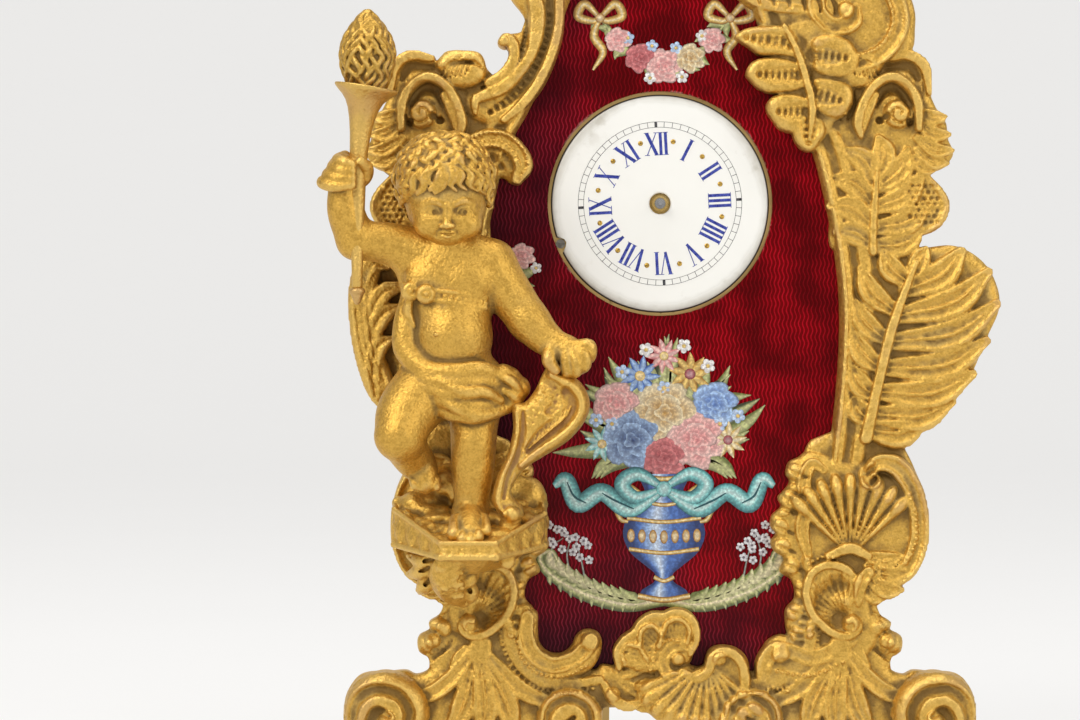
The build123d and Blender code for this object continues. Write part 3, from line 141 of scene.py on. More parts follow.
def solid(name, points, faces, finish, smooth=True):
    """An object in the scene from points in millimetres."""
    mesh = bpy.data.meshes.new(name)
    mesh.from_pydata([(x / 1000, y / 1000, z / 1000) for x, y, z in points], [], faces)
    mesh.polygons.foreach_set("use_smooth", [smooth] * len(mesh.polygons))
    mesh.materials.append(finish)
    made = bpy.data.objects.new(name, mesh)
    scene.collection.objects.link(made)
    return made


paper, shade, shader = fresh("paper_sweep")
shader.inputs["Roughness"].default_value = 0.9
grain = shade.node("ShaderNodeTexNoise", {}, {"Scale": 40.0, "Detail": 3.0})
feed(shader, mixed(grain, (0.8, 0.8, 0.79, 1), (0.84, 0.84, 0.83, 1)), "Base Color")
light_path = paper.node_tree.nodes.new("ShaderNodeLightPath")
seen = Shade(paper.node_tree, light_path.outputs["Is Camera Ray"])
for name in ("Is Glossy Ray", "Is Transmission Ray"):
    seen = seen.sum("MAXIMUM", seen, Shade(paper.node_tree, light_path.outputs[name]))
white = shade.node("ShaderNodeEmission", {}, {"Color": (0.97, 0.962, 0.95, 1), "Strength": 1.0})
lit = Shade(paper.node_tree, shader.outputs[0])
surface = shade.node("ShaderNodeMixShader", {}, {0: seen * 0.72, 1: lit, 2: white})
paper.node_tree.links.new(surface.socket, paper.node_tree.nodes["Material Output"].inputs[0])

sweep_near, sweep_back, sweep_top, sweep_half = -2500, 2300, 2400, 3500
sweep_bend = 500
table_z = -0.2
sweep_profile = [(sweep_near, table_z)]
for i in range(11):
    turn = math.radians(9 * i)
    rise = sweep_bend * (1 - math.cos(turn))
    sweep_profile.append((sweep_back + sweep_bend * math.sin(turn), table_z + rise))
sweep_profile.append((sweep_back + sweep_bend, sweep_top))
sweep_points, sweep_faces = [], []
for y, z in sweep_profile:
    sweep_points += [(-sweep_half, y, z), (sweep_half, y, z)]
for i in range(len(sweep_profile) - 1):
    sweep_faces.append((2 * i, 2 * i + 1, 2 * i + 3, 2 * i + 2))
solid("paper_sweep", sweep_points, sweep_faces, paper)


def lamp(name, place, target, width, height, power, colour):
    """A soft rectangular lamp."""
    data = bpy.data.lights.new(name, "AREA")
    data.shape = "RECTANGLE"
    data.size, data.size_y = width, height
    data.energy = power
    data.color = colour
    made = bpy.data.objects.new(name, data)
    made.location = place
    made.rotation_euler = (Vector(target) - Vector(place)).to_track_quat("-Z", "Y").to_euler()
    scene.collection.objects.link(made)


lamp("key_lamp", (-0.75, -0.85, 0.85), (-0.01, 0, 0.09), 0.8, 0.8, 9.6, (1.0, 0.98, 0.95))
lamp("fill_lamp", (0.85, -0.8, 0.5), (0.0, 0, 0.1), 0.7, 0.9, 4.4, (1.0, 0.98, 0.96))
lamp("top_lamp", (0.0, -0.1, 1.2), (0.0, 0, 0.1), 0.9, 0.7, 6.2, (1.0, 1.0, 1.0))
room = bpy.data.worlds.new("room")
scene.world = room
room.use_nodes = True
room.node_tree.nodes["Background"].inputs["Color"].default_value = (1.0, 0.98, 0.95, 1)
room.node_tree.nodes["Background"].inputs["Strength"].default_value = 0.47


# Front frame: one bronze casting in the rocaille manner, fire-gilt and chased with small punches.
# It holds the plaque's rim, C-scrolls, shells, leaves, the bracket for the figure, and the feet.
axis_across, table_down = 660, 749


def spot(across, down, forward):
    """A place in the photograph's frame and its distance before the plaque, in millimetres."""
    share = 1 - forward / lens_distance
    x = view_x + (across - photo_width / 2) * pixel * share
    z = view_z - (down - photo_height / 2) * pixel * share
    return (x, plaque_y - forward, z)


def trail(*places):
    return [spot(*place) for place in places]


def framed(x, z):
    """A place of the plaque's left half, x from the clock's axis, in the photograph's frame."""
    return (axis_across - x / pixel, table_down - z / pixel)


def smooth_line(points, widths, pieces=7):
    """Points and half widths along a smooth line through the given ones."""
    knots = np.array([(*point, width) for point, width in zip(points, widths)])
    ends = np.vstack([2 * knots[0] - knots[1], knots, 2 * knots[-1] - knots[-2]])
    line = []
    for a, b, c, d in zip(ends, ends[1:], ends[2:], ends[3:]):
        for t in np.arange(pieces) / pieces:
            line.append(0.5 * (2 * b + (c - a) * t + (2 * a - 5 * b + 4 * c - d) * t**2
                + (3 * b - a - 3 * c + d) * t**3))
    return np.array(line + [knots[-1]])


class Wax:
    """A block of modelling wax, as distances on a grid. Bars and lumps are added or cut away."""

    def __init__(self, low, high, grain):
        self.low = np.array(low, float)
        self.grain = grain
        self.field = np.full([int((b - a) / grain) + 2 for a, b in zip(low, high)], 5.0, np.float32)

    def patch(self, low, high):
        first = np.clip(((low - self.low) / self.grain).astype(int), 0, None)
        last = np.minimum(((high - self.low) / self.grain).astype(int) + 2, self.field.shape)
        cells = tuple(slice(a, max(a, b)) for a, b in zip(first, last))
        axes = []
        for origin, c in zip(self.low, cells):
            axes.append(origin + self.grain * np.arange(c.start, c.stop, dtype=np.float32))
        return cells, np.meshgrid(*axes, indexing="ij", sparse=True)

    def work(self, cells, distance, blend, cut):
        side = -1 if cut else 1
        near = side * self.field[cells]
        share = np.clip(0.5 + 0.5 * (distance - near) / blend, 0, 1)
        self.field[cells] = side * (distance + (near - distance) * share - blend * share * (1 - share))

    def bar(self, points, widths, blend=0.8, flat=1.0, cut=False, pieces=7):
        """A rounded bar along a smooth line; flat squeezes it from front to back."""
        if np.isscalar(widths):
            widths = [widths] * len(points)
        line = smooth_line(points, widths, pieces)
        reach = line[:, 3].max() * max(1.0, flat) + blend + 2 * self.grain
        cells, _ = self.patch(line[:, :3].min(0) - reach, line[:, :3].max(0) + reach)
        distance = np.full([c.stop - c.start for c in cells], 9.0, np.float32)
        squeeze = np.array([1.0, 1 / flat, 1.0])
        for a, b in zip(line, line[1:]):
            inner, axes = self.patch(np.minimum(a, b)[:3] - reach, np.maximum(a, b)[:3] + reach)
            own = tuple(slice(i.start - c.start, i.stop - c.start) for i, c in zip(inner, cells))
            run = (b - a)[:3] * squeeze
            gaps = [(axis - place) * ratio for axis, place, ratio in zip(axes, a, squeeze)]
            along = sum(g * r for g, r in zip(gaps, run)) / max(float(run @ run), 1e-9)
            along = np.clip(along, 0, 1)
            far = np.sqrt(sum((g - along * r) ** 2 for g, r in zip(gaps, run)))
            distance[own] = np.minimum(distance[own], far - (a[3] + along * (b[3] - a[3])))
        self.work(cells, distance, blend, cut)

    def lump(self, middle, radii, blend=0.8, cut=False, lean=0.0):
        """An egg-shaped lump, leaning in the plane of the dial."""
        radii = np.array([radii] * 3 if np.isscalar(radii) else radii, float)
        reach = radii.max() + blend + 2 * self.grain
        cells, (x, y, z) = self.patch(np.array(middle) - reach, np.array(middle) + reach)
        turn = math.radians(lean)
        x, y, z = x - middle[0], y - middle[1], z - middle[2]
        sides = (x * math.cos(turn) + z * math.sin(turn), y, z * math.cos(turn) - x * math.sin(turn))
        first = np.sqrt(sum((s / r) ** 2 for s, r in zip(sides, radii)))
        second = np.sqrt(sum((s / r**2) ** 2 for s, r in zip(sides, radii)))
        self.work(cells, first * (first - 1) / np.maximum(second, 1e-6), blend, cut)

    def beads(self, points, radius, gap, blend=0.3, cut=False):
        """A row of beads, or of punched pits, along a smooth line."""
        line = smooth_line(points, [radius] * len(points), 12)
        walked = gap
        for a, b in zip(line, line[1:]):
            walked += float(np.linalg.norm((b - a)[:3]))
            if walked >= gap:
                self.lump(b[:3], radius, blend, cut)
                walked = 0.0

    def front(self, across, down, guess=20.0):
        """How far forward the wax stands at a place of the photograph."""
        x, _, z = spot(across, down, guess)
        column = self.field[int((x - self.low[0]) / self.grain), :, int((z - self.low[2]) / self.grain)]
        return plaque_y - (self.low[1] + self.grain * int(np.argmax(column < 0)))

    def cast(self, name, finish, reach=1.3):
        """Casts the wax as an object. Each point knows how far it lies in a hollow, for dirt, painted shade
        and wear.
        """
        mould = openvdb.FloatGrid()
        mould.copyFromArray(self.field)
        points, triangles, quads = mould.convertToPolygons(isovalue=0.0, adaptivity=0.0)
        mesh = bpy.data.meshes.new(name)
        places = points * self.grain + self.low
        mesh.from_pydata((places / 1000).tolist(), [], triangles.tolist() + quads.tolist())
        full = np.clip(0.5 - self.field / (2 * self.grain), 0, 1)
        span = max(1, round(reach / self.grain))
        for axis in (0, 1, 2, 0, 1, 2):
            edge = [(span + 1, span) if i == axis else (0, 0) for i in range(3)]
            total = np.cumsum(np.pad(full, edge), axis=axis, dtype=np.float32)
            late = [slice(2 * span + 1, None) if i == axis else slice(None) for i in range(3)]
            early = [slice(None, -2 * span - 1) if i == axis else slice(None) for i in range(3)]
            full = (total[tuple(late)] - total[tuple(early)]) / (2 * span + 1)
        first = np.clip(points.astype(int), 0, np.array(full.shape) - 2)
        rest = points - first
        depth = np.zeros(len(points))
        for corner in np.ndindex(2, 2, 2):
            share = np.prod(np.where(corner, rest, 1 - rest), axis=1)
            depth += share * full[tuple((first + corner).T)]
        hollow = mesh.attributes.new("hollow", "FLOAT", "POINT")
        hollow.data.foreach_set("value", depth.astype(np.float32))
        work = bmesh.new()
        work.from_mesh(mesh)
        bmesh.ops.recalc_face_normals(work, faces=work.faces)
        if work.calc_volume(signed=True) < 0:
            bmesh.ops.reverse_faces(work, faces=work.faces)
        work.to_mesh(mesh)
        work.free()
        mesh.polygons.foreach_set("use_smooth", [True] * len(mesh.polygons))
        mesh.materials.append(finish)
        made = bpy.data.objects.new(name, mesh)
        scene.collection.objects.link(made)
        return made


# dark is the colour of the hollows, for their dirt and their painted shade.
def gilding(name, warm=(0.73, 0.45, 0.095), dark=(0.14, 0.075, 0.015)):
    """Matte fire gilding: dark brown in the hollows, partly dirt and partly painted shade, greenish bloom,
    and coppery wear on what stands out.
    """
    material, shade, shader = fresh(name)
    place = shade.node("ShaderNodeTexCoord", {}, {}, 3)
    hollow = shade.node("ShaderNodeAttribute", {"attribute_name": "hollow"}, {}, 2)
    cloud = shade.node("ShaderNodeTexNoise", {}, {"Vector": place, "Scale": 60.0, "Detail": 5.0})
    speck = shade.node("ShaderNodeTexNoise", {}, {"Vector": place, "Scale": 900.0, "Detail": 4.0})
    fine = shade.node("ShaderNodeTexNoise", {}, {"Vector": place, "Scale": 2200.0, "Detail": 3.0})
    punch = shade.node("ShaderNodeTexVoronoi", {}, {"Vector": place, "Scale": 1500.0})
    # Hollows darken towards the dark colour: partly real dirt, partly painted shade where less light reaches.
    dirt_and_painted_shade = step(hollow + (cloud - 0.5) * 0.14 + (speck - 0.5) * 0.2, 0.5, 0.65)
    wear = step((speck - 0.5) * 0.12 - hollow, -0.44, -0.32)
    bloom = step(cloud, 0.5, 0.64) * step(hollow, 0.44, 0.55)
    copper = step(cloud, 0.54, 0.64) * wear
    pit = step(speck * 0.55 + fine * 0.45, 0.6, 0.68)
    dull = (warm[0] * 0.74, warm[1] * 0.7, warm[2] * 0.6)
    gold = mixed(step(speck * 0.5 + fine * 0.5, 0.36, 0.62), (*dull, 1), (*warm, 1))
    gold = mixed(wear * 0.5, gold, (0.8, 0.55, 0.17, 1))
    gold = mixed(copper * 0.4, gold, (0.5, 0.28, 0.13, 1))
    gold = mixed(bloom * 0.4, gold, (0.4, 0.31, 0.12, 1))
    gold = mixed(pit * 0.4, gold, (0.3, 0.17, 0.035, 1))
    gold = mixed(dirt_and_painted_shade * 0.82, gold, (*dark, 1))
    feed(shader, gold, "Base Color")
    feed(shader, 0.45 + dirt_and_painted_shade * 0.2 + (speck - 0.5) * 0.3 + bloom * 0.12, "Roughness")
    feed(shader, 0.84 - dirt_and_painted_shade * 0.35 - bloom * 0.3, "Metallic")
    height = speck * 1.1 + fine * 0.5 + punch * 0.5 + cloud * 1.0
    bump = shade.node("ShaderNodeBump", {}, {"Strength": 0.5, "Distance": 0.0003, "Height": height})
    feed(shader, bump, "Normal")
    return material


class Sheet:
    """A relief seen from the front: where the metal reaches and how far it stands before the plaque.
    Places are those of the photograph's frame, and flip lays them on the other side of the clock."""

    def __init__(self, wax, forward):
        self.wax = wax
        self.forward = forward
        self.flip = False
        across, _, up = wax.field.shape
        self.x = (wax.low[0] + wax.grain * np.arange(across, dtype=np.float32))[:, None]
        self.z = (wax.low[2] + wax.grain * np.arange(up, dtype=np.float32))[None, :]
        self.edge = np.full((self.x.size, self.z.size), 9.0, np.float32)
        self.height = np.zeros_like(self.edge)

    def lay(self, places, closed=False, pieces=6):
        """A smooth line in millimetres through places; a third number rides along."""
        points, widths = [], []
        for x, y, *more in places:
            side = 2 * axis_across - x if self.flip else x
            points.append((spot(side, y, self.forward)[0], 0, spot(side, y, self.forward)[2]))
            widths.append(more[0] if more else 1.0)
        if closed:
            points = points[-2:] + points + points[:2]
            widths = widths[-2:] + widths + widths[:2]
        line = smooth_line(points, widths, pieces)
        return line[2 * pieces : -2 * pieces] if closed else line

    def area(self, line, reach):
        """The cells round a line."""
        cells = []
        for axis, values in ((self.x[:, 0], line[:, 0]), (self.z[0], line[:, 2])):
            first, last = np.searchsorted(axis, (values.min() - reach, values.max() + reach))
            cells.append(slice(int(first), int(last)))
        return tuple(cells), self.x[cells[0]], self.z[:, cells[1]]

    def plate(self, places, base, bulge, width=2.5):
        """Lays a plate with a smooth outline; its face swells from the edge inwards."""
        line = self.lay(places, True)
        cells, x, z = self.area(line, 3.0)
        far = np.full((x.size, z.size), 99.0, np.float32)
        inside = np.zeros(far.shape, bool)
        for a, b in zip(line, np.roll(line, -1, 0)):
            dx, dz = b[0] - a[0], b[2] - a[2]
            along = np.clip(((x - a[0]) * dx + (z - a[2]) * dz) / max(dx * dx + dz * dz, 1e-9), 0, 1)
            far = np.minimum(far, (x - a[0] - along * dx) ** 2 + (z - a[2] - along * dz) ** 2)
            if dz:
                inside ^= ((a[2] > z) != (b[2] > z)) & (x < a[0] + (z - a[2]) * dx / dz)
        far = np.sqrt(far) * np.where(inside, -1, 1)
        swell = base + bulge * np.sqrt(1 - (1 - np.clip(-far / width, 0, 1)) ** 2)
        self.height[cells] = np.where(far < 0.3, np.maximum(swell, self.height[cells]), self.height[cells])
        self.edge[cells] = np.minimum(self.edge[cells], far)

    def ridge(self, places, width, rise, pieces=6):
        """Raises a rounded ridge along a line, or sinks a groove where the rise is negative."""
        line = self.lay(places, False, pieces)
        cells, x, z = self.area(line, width * line[:, 3].max() + 0.5)
        share = np.full((x.size, z.size), 9.0, np.float32)
        for a, b in zip(line, line[1:]):
            dx, dz = b[0] - a[0], b[2] - a[2]
            along = np.clip(((x - a[0]) * dx + (z - a[2]) * dz) / max(dx * dx + dz * dz, 1e-9), 0, 1)
            far = np.sqrt((x - a[0] - along * dx) ** 2 + (z - a[2] - along * dz) ** 2)
            share = np.minimum(share, far / (width * (a[3] + along * (b[3] - a[3])) + 1e-6))
        self.height[cells] += rise * np.clip(1 - share**2, 0, 1) ** 1.3

    def dome(self, x, y, radius, rise):
        """A round boss, or a round pit."""
        line = self.lay([(x, y), (x, y - 0.01)])
        cells, across, up = self.area(line, radius + 0.5)
        share = ((across - line[0][0]) ** 2 + (up - line[0][2]) ** 2) / radius**2
        self.height[cells] += rise * np.sqrt(np.clip(1 - share, 0, 1))

    def beads(self, places, radius, gap, rise):
        line = self.lay(places, False, 14)
        walked = gap
        for a, b in zip(line, line[1:]):
            walked += math.hypot(b[0] - a[0], b[2] - a[2])
            if walked >= gap:
                walked = 0.0
                cells, x, z = self.area(b[None, :], radius + 0.5)
                share = ((x - b[0]) ** 2 + (z - b[2]) ** 2) / radius**2
                self.height[cells] += rise * np.sqrt(np.clip(1 - share, 0, 1))

    def fan(self, x, y, radius, start, finish, ribs, rise):
        """Ribs that spread from a hinge to a scalloped lip, between two angles in degrees."""
        line = self.lay([(x, y), (x, y - 0.01)])
        cells, across, up = self.area(line, radius + 1)
        dx, dz = across - line[0][0], up - line[0][2]
        if self.flip:
            dx = -dx
        turn = (np.degrees(np.arctan2(dz, dx)) - start) % 360 / (finish - start)
        far = np.hypot(dx, dz) / radius
        rib = np.abs(np.sin(np.pi * ribs * turn))
        lip = np.exp(-(((far - 0.88) / 0.1) ** 2)) * 0.5
        hinge = np.clip((far - 0.08) / 0.35, 0, 1)
        end = np.clip((1.0 + 0.1 * rib - far) / 0.06, 0, 1)
        self.height[cells] += rise * np.where(turn < 1, (rib**0.7 + lip) * hinge * end, 0)

    def spiral(self, x, y, radius, start, sweep, inner, width, rise):
        """A ridge that winds inwards round a middle; radii are in millimetres."""
        places = []
        steps = max(6, int(abs(sweep) / 20))
        for i in range(steps + 1):
            far = (radius + (inner - radius) * i / steps) / pixel
            turn = math.radians(start + sweep * i / steps)
            places.append((x + far * math.cos(turn), y - far * math.sin(turn), 1 - 0.35 * i / steps))
        self.ridge(places, width, rise, 3)

    def band(self, places, width, base, rise, dish=0.5, vein=0.0, pieces=6):
        """Lays a strap along a line over what is lower: rolled edges, a dished middle, perhaps a vein."""
        line = self.lay(places, False, pieces)
        cells, x, z = self.area(line, width * line[:, 3].max() + 0.8)
        share = np.full((x.size, z.size), 9.0, np.float32)
        size = np.ones_like(share)
        for a, b in zip(line, line[1:]):
            dx, dz = b[0] - a[0], b[2] - a[2]
            along = np.clip(((x - a[0]) * dx + (z - a[2]) * dz) / max(dx * dx + dz * dz, 1e-9), 0, 1)
            half = np.maximum(a[3] + along * (b[3] - a[3]), 0.05)
            far = np.sqrt((x - a[0] - along * dx) ** 2 + (z - a[2] - along * dz) ** 2) / (width * half)
            size = np.where(far < share, half, size)
            share = np.minimum(share, far)
        roll = np.sqrt(1 - np.clip((share - 0.55) / 0.45, 0, 1) ** 2)
        hollow = 1 - dish * np.clip(1 - (share / 0.7) ** 2, 0, 1) + vein * np.exp(-((share / 0.2) ** 2))
        raised = base + rise * roll * hollow * np.minimum(1.0, 0.45 + 0.55 * size)
        self.height[cells] = np.where(share < 1, np.maximum(raised, self.height[cells]), self.height[cells])
        self.edge[cells] = np.minimum(self.edge[cells], (share - 1) * width * size)

    def leaf(self, lobes, width, base, rise, bend=0.15):
        """An acanthus leaf: overlapping lobes, each from a root to a tip, with rolled edges and a vein."""
        for i, ((ax, ay), (bx, by)) in enumerate(lobes):
            mx, my = ax + (bx - ax) * 0.55 + (by - ay) * bend, ay + (by - ay) * 0.55 - (bx - ax) * bend
            lobe = [(ax, ay, 0.55), (mx, my, 1.0), (bx, by, 0.3)]
            self.band(lobe, width, base + 0.1 * (i % 3), rise, 0.5, 0.4)
            for side in (-0.4, 0.4):
                reach = max(math.hypot(bx - ax, by - ay), 1.0) * pixel
                px, py = side * (by - ay) * width * 0.2 / reach, -side * (bx - ax) * width * 0.2 / reach
                vein = [(ax + px, ay + py, 0.5), (mx + 2 * px, my + 2 * py), (bx, by, 0.4)]
                self.ridge(vein, 0.3, -0.3)

    def grit(self, depth):
        """Roughens the whole face with the marks of a small matting punch."""
        marks = np.random.default_rng(5).normal(size=self.height.shape).astype(np.float32)
        for axis in (0, 1, 0, 1):
            marks = (np.roll(marks, 1, axis) + marks + np.roll(marks, -1, axis)) / 3
        self.height += depth * marks / marks.std()

    def press(self, back):
        """Presses the relief into the wax, down to a flat back."""
        wax = self.wax
        slope = np.gradient(self.height, wax.grain)
        steep = (1 / np.sqrt(1 + slope[0] ** 2 + slope[1] ** 2))[:, None, :]
        depth = wax.low[1] + wax.grain * np.arange(wax.field.shape[1], dtype=np.float32)
        forward = (plaque_y - depth)[None, :, None]
        metal = np.maximum((forward - self.height[:, None, :]) * steep, self.edge[:, None, :])
        wax.field = np.minimum(wax.field, np.maximum(metal, back - forward))


gilt = gilding("fire_gilding")
wax = Wax((-77, plaque_y - 14, -0.3), (77, plaque_y + 2.2, 207), 0.36)
sheet = Sheet(wax, 4.0)

# Rim round the plaque, from the foot up each side to the crest, with a fillet along its inner edge
rim = ((26.0, 13.0), (34.4, 36.1), (39.9, 65.8), (42.0, 98.8), (37.0, 128.5), (30.7, 141.7), (25.6, 154.9),
    (20.5, 168.1), (12.0, 174.0))
for sheet.flip in (False, True):
    inner = [framed(x - 2.4, z) for x, z in rim]
    outer = [framed(x + 6.0, z) for x, z in rim]
    sheet.plate(inner + [(axis_across, -45), (axis_across, -70)] + outer[::-1], 1.8, 2.0, 2.2)
    sheet.ridge([framed(x - 1.2, z) for x, z in rim], 0.8, 0.7)
    sheet.ridge([framed(x + 1.6, z) for x, z in rim], 1.3, -1.0)

# Head of each side: a hollow shell, a folded cushion, a hood over a rosette, and a leaf between them
for sheet.flip in (False, True):
    sheet.plate([(383, 107), (392, 84), (396, 60), (412, 51), (430, 54), (438, 60), (446, 51), (464, 50),
        (480, 53), (487, 68), (497, 78), (512, 92), (515, 112), (511, 128), (505, 150), (495, 180),
        (490, 215), (486, 250), (440, 255), (408, 236), (385, 223), (375, 208), (376, 196), (390, 174),
        (380, 169), (368, 159), (366, 150), (371, 138), (373, 122)], 1.6, 1.4, 2.6)
    sheet.band([(390, 92, 0.6), (395, 66), (411, 55), (432, 58, 0.6)], 1.3, 2.6, 1.3, 0.0)
    sheet.ridge([(402, 78, 0.6), (411, 66), (432, 67, 0.6)], 1.5, -1.2)
    for i in range(5):
        sheet.ridge([(398 + 7 * i, 92 - 3 * i, 0.5), (399 + 8 * i, 76 - 2 * i, 0.6)], 0.35, 0.45)
    sheet.plate([(436, 66), (446, 52), (464, 50), (480, 53), (486, 66), (484, 80), (468, 88), (450, 86)],
        3.2, 1.8, 2.2)
    for i in range(6):
        sheet.ridge([(440 + 5 * i, 80 - i, 0.5), (447 + 5 * i, 66 - i), (462 + 4.5 * i, 57 + 2.5 * i, 0.4)],
            0.5, -0.7)
    lobes = [((447, 246), (398, 230)), ((446, 228), (392, 203)), ((445, 208), (398, 174)),
        ((443, 188), (412, 150)), ((447, 246), (484, 232)), ((447, 226), (490, 206)),
        ((446, 206), (488, 178)), ((444, 186), (474, 150)), ((443, 176), (441, 138))]
    sheet.leaf(lobes, 3.0, 2.7, 1.5)
    sheet.band([(447, 252, 1.0), (446, 212), (442, 160, 0.4)], 0.9, 3.6, 0.9, 0.0)
    sheet.band([(401, 128, 0.7), (402, 104), (412, 86), (428, 77), (446, 86), (457, 104), (462, 122),
        (459, 136, 0.6)], 1.2, 3.4, 1.9, 0.0)
    sheet.ridge([(411, 104, 0.6), (419, 90), (434, 89), (447, 104, 0.7)], 1.8, -1.5)
    sheet.dome(421, 113, 3.4, 2.2)
    sheet.spiral(421, 113, 3.3, 40, 520, 0.5, 0.45, -0.8)
    for x, y in ((433, 116), (440, 120), (410, 122)):
        sheet.dome(x, y, 0.9, -1.6)
    sheet.band([(444, 95, 0.6), (452, 108), (458, 130, 0.6)], 1.5, 3.2, 1.6, 0.0)
    sheet.band([(475, 96, 0.7), (475, 104), (475, 113, 0.6)], 0.95, 3.6, 1.6, 0.0)
    sheet.ridge([(466, 92, 0.6), (466, 108), (472, 119, 0.6)], 0.55, -0.8)
    sheet.ridge([(484, 92, 0.6), (485, 108), (479, 119, 0.6)], 0.55, -0.8)
    sheet.leaf([((398, 112), (374, 116)), ((400, 124), (370, 134)), ((402, 138), (367, 150)),
        ((402, 150), (372, 163)), ((404, 158), (386, 170))], 1.9, 2.6, 1.4)
    sheet.band([(404, 172, 0.6), (389, 190), (380, 206), (389, 221), (412, 232, 0.6)], 2.4, 2.4, 1.3, 0.4)
    for i in range(34):
        sheet.dome(382 + 6.2 * (i % 5) + 3 * (i // 5 % 2), 186 + 6 * (i // 5), 0.55, -0.6)
sheet.flip = False

# Great C-scroll at the upper left with its beaded channel, and the hook inside it
sheet.plate([(508, -8), (524, 16), (522, 30), (512, 33), (503, 33), (499, 40), (502, 48), (508, 49),
    (512, 58), (508, 68), (499, 75), (488, 78), (476, 86), (465, 94), (462, 106), (470, 119), (490, 127),
    (513, 126), (528, 107), (544, 86), (557, 57), (564, 29), (563, -5), (558, -40), (538, -52), (514, -34)],
    2.2, 1.8, 2.6)
sheet.band([(559, -30, 0.7), (559, 0), (558, 28), (551, 55), (538, 83), (522, 104), (504, 120, 0.7)], 1.2,
    3.4, 1.5, 0.0)
sheet.ridge([(549, -20, 0.7), (550, 8), (548, 30), (541, 53), (528, 78), (511, 98), (490, 112, 0.6)], 1.2,
    -1.2)
sheet.beads([(550, 10), (548, 30), (541, 53), (528, 78), (511, 98), (494, 110)], 0.6, 1.3, 0.9)
sheet.band([(526, -25, 0.6), (536, 4), (537, 28), (531, 49), (519, 69), (501, 87), (476, 99, 0.6)], 1.9, 3.5,
    1.9, 0.0)
sheet.ridge([(526, 20, 0.5), (525, 45), (516, 62), (502, 77), (482, 88, 0.5)], 0.95, -1.4)
sheet.beads([(526, 24), (525, 45), (516, 62), (502, 77), (486, 86)], 0.45, 0.95, 0.6)
sheet.band([(488, 83, 0.7), (505, 73), (514, 58), (513, 45), (507, 39), (503, 42, 0.9)], 1.4, 3.6, 1.7, 0.0)
sheet.dome(504, 41, 1.2, 0.7)

# Leaf hook that bends over the plaque beside the child's hair
sheet.plate([(462, 146), (476, 134), (498, 131), (514, 136), (526, 149), (530, 163), (525, 176), (513, 184),
    (503, 178), (494, 180), (486, 190), (466, 180)], 2.2, 1.4, 2.4)
sheet.band([(464, 146, 0.7), (483, 139), (503, 140), (517, 151), (523, 165), (517, 179, 0.6)], 2.2, 3.2, 1.9,
    0.3)
sheet.beads([(470, 139), (486, 133), (506, 134), (522, 147), (528, 164)], 0.45, 0.95, 0.7)
sheet.beads([(474, 145), (488, 140), (503, 142), (515, 153), (520, 166)], 0.4, 0.95, 0.6)
sheet.beads([(480, 149), (492, 146), (503, 150), (510, 160)], 0.36, 0.9, 0.5)
sheet.ridge([(472, 164, 0.6), (490, 158), (502, 168, 0.5)], 1.6, -0.8)

# Large leaf behind the child: a broad matted back, with pointed lobes that peel off over a deep hollow
sheet.plate([(398, 249), (378, 246), (362, 253), (355, 275), (352, 300), (353, 330), (358, 352), (367, 378),
    (382, 404), (400, 428), (450, 440), (470, 380), (465, 300), (455, 255)], 1.0, 0.6, 3.4)
sheet.band([(394, 246, 0.6), (372, 258, 0.9), (363, 290), (364, 325), (370, 358), (381, 388),
    (396, 414, 0.6)], 3.3, 3.0, 2.6, 0.0)
for lobe in ([(364, 280, 0.7), (374, 263), (388, 267, 0.35)],
        [(368, 334, 0.7), (374, 308), (386, 291), (405, 286, 0.35)],
        [(369, 356, 0.7), (374, 331), (384, 314), (400, 306, 0.3)],
        [(376, 396, 0.7), (373, 366), (379, 346), (393, 338, 0.3)]):
    sheet.band(lobe, 2.1, 4.4, 1.6, 0.15)
    sheet.ridge([place[:2] for place in lobe], 0.3, -0.35)
for shift in (-5, 1, 7):
    sheet.ridge([(374 + shift, 262, 0.6), (362 + shift, 292), (363 + shift, 325), (369 + shift, 356),
        (379 + shift, 384, 0.6)], 0.35, -0.25)
for i in range(4):
    sheet.ridge([(404 + 10 * i, 414, 0.6), (402 + 12 * i, 360), (410 + 12 * i, 290, 0.6)], 1.6, 0.6)

# Large leaf on the right flank, broad and open, with a rib and lobes to both sides
sheet.flip = True
sheet.plate([(398, 248), (362, 246), (332, 266), (319, 302), (332, 338), (358, 392), (402, 428), (450, 440),
    (468, 380), (464, 300), (455, 255)], 1.8, 1.4, 3.0)
sheet.leaf([((450, 430), (398, 424)), ((446, 414), (368, 402)), ((442, 392), (347, 374)),
    ((436, 368), (333, 341)), ((430, 342), (323, 304)), ((422, 316), (331, 272)), ((414, 290), (358, 251))],
    3.7, 2.6, 2.2, 0.12)
sheet.leaf([((450, 420), (466, 400)), ((446, 396), (467, 368)), ((440, 368), (466, 334)),
    ((434, 340), (464, 302)), ((424, 312), (459, 268)), ((412, 282), (436, 252))], 2.9, 2.6, 2.0, -0.12)
sheet.leaf([((408, 276), (394, 249))], 2.6, 2.8, 2.0, 0.0)
sheet.band([(454, 438, 1.2), (442, 384), (427, 324), (404, 262, 0.5)], 1.2, 4.0, 1.2, 0.0)

# Ground of the flank below each leaf; on the left the child's bracket stands before it
for sheet.flip in (False, True):
    sheet.plate([(470, 425), (430, 430), (404, 470), (400, 505), (470, 520), (500, 500), (516, 470),
        (508, 440)], 1.8, 1.0, 3.0)

